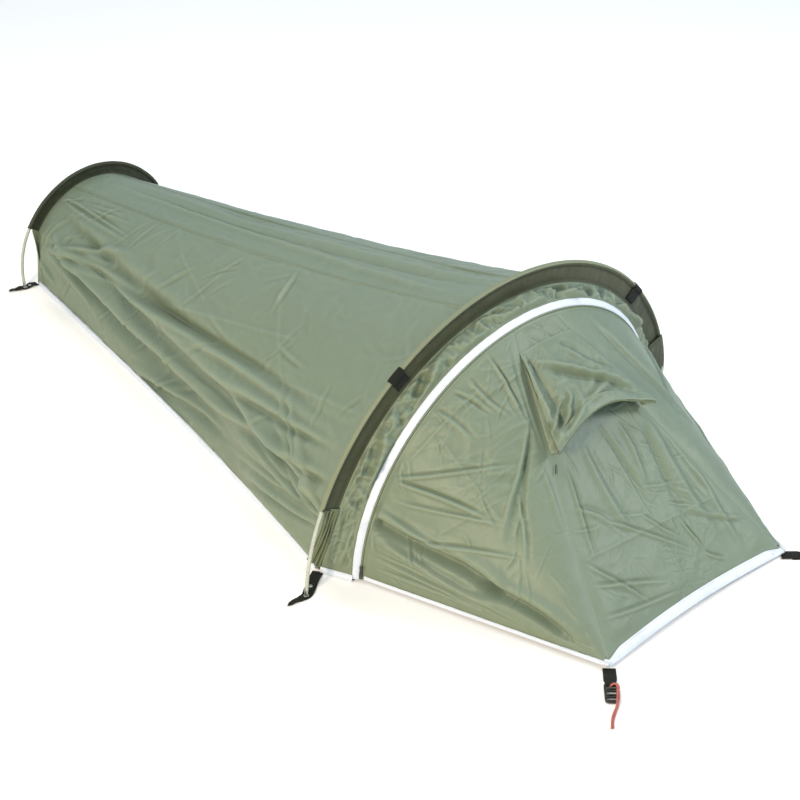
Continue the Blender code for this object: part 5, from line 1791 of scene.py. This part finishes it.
def make_strap(side):
    """Webbing from the door's corner, round the buckle's end bar and back under itself."""
    node = f"corner_strap_{side}"
    root = joint_place(f"corner_strap_lift_{side}")
    hinge = joint_place(f"corner_buckle_tilt_{side}")
    heading = unit(hinge - root)
    across = np.cross((0.0, 0.0, 1.0), heading)
    length = np.linalg.norm(hinge - root)
    profile = [(-0.016, 0.0, 0.0022), (0.004, 0.0, 0.0034), (length * 0.5, 0.0, 0.0040),
               (length - 0.004, 0.0, 0.0046), (length + 0.004, 0.0, 0.0068), (length + 0.010, 0.0, 0.0062),
               (length + 0.0125, 0.0, 0.0040), (length + 0.010, 0.0, 0.0018), (length + 0.002, 0.0, 0.0013),
               (length * 0.6, 0.0, 0.0012), (length * 0.25, 0.0, 0.0012)]
    smooth = smooth_path(np.array(profile), 60)
    width = np.linspace(-0.0140, 0.0140, 14)
    narrow = 1.0 - 0.28 * ease(smooth[:, 0], length - 0.012, length + 0.004)
    middle = root * (1, 1, 0) + smooth[:, :1] * heading
    points = middle[:, None, :] + (narrow[:, None] * width[None, :])[..., None] * across
    points[..., 2] += smooth[:, 2:3]
    strap = fabric(f"{node}_webbing", points, None, WEB, (node,), thickness=0.0014)
    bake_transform(strap)
    for row, x in enumerate((0.010, 0.016)):
        line = np.linspace(-0.0120, 0.0120, 20)
        path = root * (1, 1, 0) + heading * x + line[:, None] * across + np.array((0.0, 0.0, 0.0046))
        stitches(f"{node}_tack_{row + 1}", path, everywhere(UP, path), node, DARK_THREAD,
                 pitch=0.0028, length=0.0022)


def smooth_path(points, count):
    """A rounded line through a few points."""
    run = distances(points)
    fine = np.linspace(0.0, run[-1], count)
    tangent = np.gradient(points, run, axis=0)
    index = np.clip(np.searchsorted(run, fine, side="right") - 1, 0, len(run) - 2)
    width = (run[index + 1] - run[index])[:, None]
    t = ((fine - run[index]) / width[:, 0])[:, None]
    h00 = 2 * t ** 3 - 3 * t ** 2 + 1
    h10 = t ** 3 - 2 * t ** 2 + t
    h01 = -2 * t ** 3 + 3 * t ** 2
    h11 = t ** 3 - t ** 2
    return (h00 * points[index] + h10 * width * tangent[index] + h01 * points[index + 1]
            + h11 * width * tangent[index + 1])


def braid(ring, turn):
    """How far a braided cord bulges: two sets of strands that cross."""
    return 1.0 + 0.10 * np.cos(ring * 1.1 + 3 * turn) + 0.10 * np.cos(ring * 1.1 - 3 * turn)


def make_cord(side):
    """Doubled red cord: out of the buckle's first slot, along its edge, and off as a tail."""
    node = f"corner_cord_{side}"
    swing = joint_place(f"corner_cord_swing_{side}")
    before = joint_place(f"corner_buckle_tilt_{side}")
    heading = unit(swing - before)
    across = np.cross((0.0, 0.0, 1.0), heading) * (1.0 if side == "left" else -1.0)
    low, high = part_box(node)
    reach = abs((high - low)[1] / heading[1]) - 0.006
    length = np.linalg.norm(swing - before)
    route = [(0.016, -0.003, 0.0062), (0.011, 0.004, 0.0100), (0.010, 0.010, 0.0104),
             (0.016, 0.0135, 0.0098), (0.030, 0.0130, 0.0100), (0.046, 0.0125, 0.0096),
             (length - 0.006, 0.0110, 0.0088), (length + 0.006, 0.0085, 0.0050),
             (length + reach * 0.35, 0.0020, 0.0030), (length + reach * 0.7, -0.0035, 0.0026),
             (length + reach, -0.0055, 0.0026)]
    path = smooth_path(np.array([before * (1, 1, 0) + heading * x + across * y + np.array((0, 0, z))
                                 for x, y, z in route]), 260)
    share = np.linspace(0.0, 1.0, len(path))
    for number, aside in enumerate((-0.5, 0.5)):
        gap = 0.0036 * aside * ease(share, 0.02, 0.12) * (1.0 + 0.18 * np.sin(share * 19.0 + number))
        strand = path + gap[:, None] * across
        strand[:, 2] = np.maximum(strand[:, 2], 0.0022)
        nodes = () if number else (node,)
        cord = tube(f"{node}_strand_{number + 1}", strand, 0.0018, None, RED, nodes, sides=16,
                    ripple=braid)
        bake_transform(cord)


TAB_WIDTH = {"main": 0.0258, "foot": 0.0238}
TAB_ROOT = {"main": CABIN_CORNER + np.array((-0.004, -0.003, 0.0)),
            "foot": FOOT_CORNER + np.array((-0.004, 0.003, 0.0))}
TAB_TURN = {"main": -0.001, "foot": 0.010}    # how far the nose lies behind the pin
SPARE_EYELET = 0.62           # place of the second eyelet, as a share of the way to the pin


def tab_places(hoop, side):
    """The left tab's root, the pole's pin and the nose, all on the ground."""
    low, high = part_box(f"{hoop}_pole_tab_{side}")
    arch = ARCHES[hoop]
    pin = arch.point(math.degrees(math.asin(-arch.centre / arch.radius)))
    nose = np.array((low[0] if side == "left" else -high[0], pin[1] + TAB_TURN[hoop], 0.0))
    return TAB_ROOT[hoop], pin, nose


def tab_surface(path, pin, width):
    """The tab's grid: it narrows to the nose, waves a little, and lies flat round the pin."""
    forward = unit(np.gradient(path, axis=0))
    across = np.stack([-forward[:, 1], forward[:, 0], np.zeros(len(path))], axis=-1)
    share = np.linspace(0.0, 1.0, len(path))
    half = width / 2 * (1.0 - 0.60 * ease(share, 0.50, 1.0))
    half = half * np.sqrt(np.clip((1.0 - share) / 0.06, 0.02, 1.0))
    line = np.linspace(-1.0, 1.0, 25)
    points = path[:, None, :] + (half[:, None] * line[None, :])[..., None] * across[:, None, :]
    near_pin = np.exp(-(np.linalg.norm(path - pin, axis=1) / 0.011) ** 2)
    wave = 0.0022 * np.sin(share * 9.0) ** 2 + 0.0012 * noise(share * 8.0, share * 0.0, 601)
    wave = wave * (1.0 - near_pin)
    curl = 0.0012 * line[None, :] ** 2 * np.sin(share * 7.0)[:, None] ** 2
    points[..., 2] = 0.0012 + np.abs(wave)[:, None] + curl * (1.0 - near_pin)[:, None]
    return points


def make_tab(hoop, side):
    """The webbing tab at a pole's foot: it leaves the corner, carries two eyelets and ends in a nose."""
    node = f"{hoop}_pole_tab_{side}"
    root, pin, nose = tab_places(hoop, side)
    path = smooth_path(np.stack([root, mix(root, pin, 0.55), pin, mix(pin, nose, 0.6), nose]), 70)
    points = tab_surface(path, pin, TAB_WIDTH[hoop])
    middles = (points[:-1, :-1] + points[1:, 1:]) / 2
    spare = mix(root, pin, SPARE_EYELET)
    hole_a = np.linalg.norm((middles - pin)[..., :2], axis=-1) < 0.0040
    hole_b = np.linalg.norm((middles - spare)[..., :2], axis=-1) < 0.0028
    points, pin, spare_spot = on_side(side, points, pin, spare)
    fabric(f"{node}_webbing", points, "tent", WEB, (node,), thickness=0.0016,
           keep=~(hole_a | hole_b))
    spare_row = int(np.argmin(np.linalg.norm(path - spare, axis=1)))
    spare_level = points[spare_row, 12, 2] + 0.0009
    eyelets = ((pin, 0.0050, 0.0022), (spare_spot, 0.0036, spare_level))
    for number, (spot, radius, level) in enumerate(eyelets):
        middle = (spot[0], spot[1], level)
        ring(f"{node}_eyelet_{number + 1}", middle, UP, radius, 0.0013, "tent", METAL)
    for row, along in enumerate((0.05, 0.12)):
        at = int(along * (len(path) - 1))
        row_path = points[at, 2:-2] + np.array((0.0, 0.0, 0.0012))
        stitches(f"{node}_tack_{row + 1}", row_path, everywhere(UP, row_path), "tent", DARK_THREAD,
                 pitch=0.0028, length=0.0022)


make_zip_sliders()
for side in SIDES:
    make_buckle(side)
    make_strap(side)
    make_cord(side)
    make_tab("main", side)
    make_tab("foot", side)


# ---- camera, floor and light --------------------------------------------------------------

def aim(obj, place, target):
    obj.location = place
    obj.rotation_euler = (Vector(target) - Vector(place)).to_track_quat("-Z", "Y").to_euler()


CAMERA_PLACE = (-2.573, -2.447, 2.418)
CAMERA_TILT = math.radians(58.65)
CAMERA_TURN = math.radians(-42.7)
CAMERA_LENS = 80.5            # millimetres on a film 36 mm wide


def make_camera():
    data = bpy.data.cameras.new("camera")
    data.lens = CAMERA_LENS
    data.sensor_width = 36.0
    camera = bpy.data.objects.new("camera", data)
    bpy.context.scene.collection.objects.link(camera)
    camera.location = CAMERA_PLACE
    camera.rotation_euler = (CAMERA_TILT, 0.0, CAMERA_TURN)
    bpy.context.scene.camera = camera


def area_light(name, place, target, size, power, colour):
    data = bpy.data.lights.new(name, "AREA")
    data.shape = "DISK"
    data.size = size
    data.energy = power
    data.color = colour
    light = bpy.data.objects.new(name, data)
    bpy.context.scene.collection.objects.link(light)
    aim(light, place, target)


def make_stage():
    """A wide pale floor and a plain sky."""
    finish = Finish("pale_floor", 0.9)
    material = finish.finish(finish.ramp(finish.noise(0.6, 2.0), (0.90, 0.905, 0.91), (0.92, 0.925, 0.93)))
    finish.shader.inputs["Emission Color"].default_value = (1.0, 0.94, 0.91, 1.0)
    finish.shader.inputs["Emission Strength"].default_value = 0.16
    mesh = bpy.data.meshes.new("studio_floor")
    reach = 30.0
    level = -0.0006
    corners = [(x * reach, y * reach, level) for x, y in ((-1, -1), (1, -1), (1, 1), (-1, 1))]
    mesh.from_pydata(corners, [], [(0, 1, 2, 3)])
    floor = place("studio_floor", mesh)
    mesh.materials.append(material)
    world = bpy.data.worlds.new("studio")
    world.use_nodes = True
    sky = world.node_tree.nodes["Background"].inputs
    sky["Color"].default_value = (0.73, 0.89, 1.0, 1.0)
    sky["Strength"].default_value = 0.68
    bpy.context.scene.world = world
    bpy.context.scene.view_settings.view_transform = "Standard"


def make_lights():
    middle = (0.0, 0.3, 0.2)
    area_light("key", (-4.5, -1.2, 2.75), middle, 0.9, 196.0, (1.0, 0.79, 0.54))
    area_light("sky", (0.4, 1.4, 4.6), middle, 2.2, 78.0, (1.0, 0.86, 0.70))
    area_light("rim", (2.5, -2.4, 2.9), middle, 1.2, 80.0, (0.94, 0.96, 1.0))


make_camera()
make_stage()
make_lights()
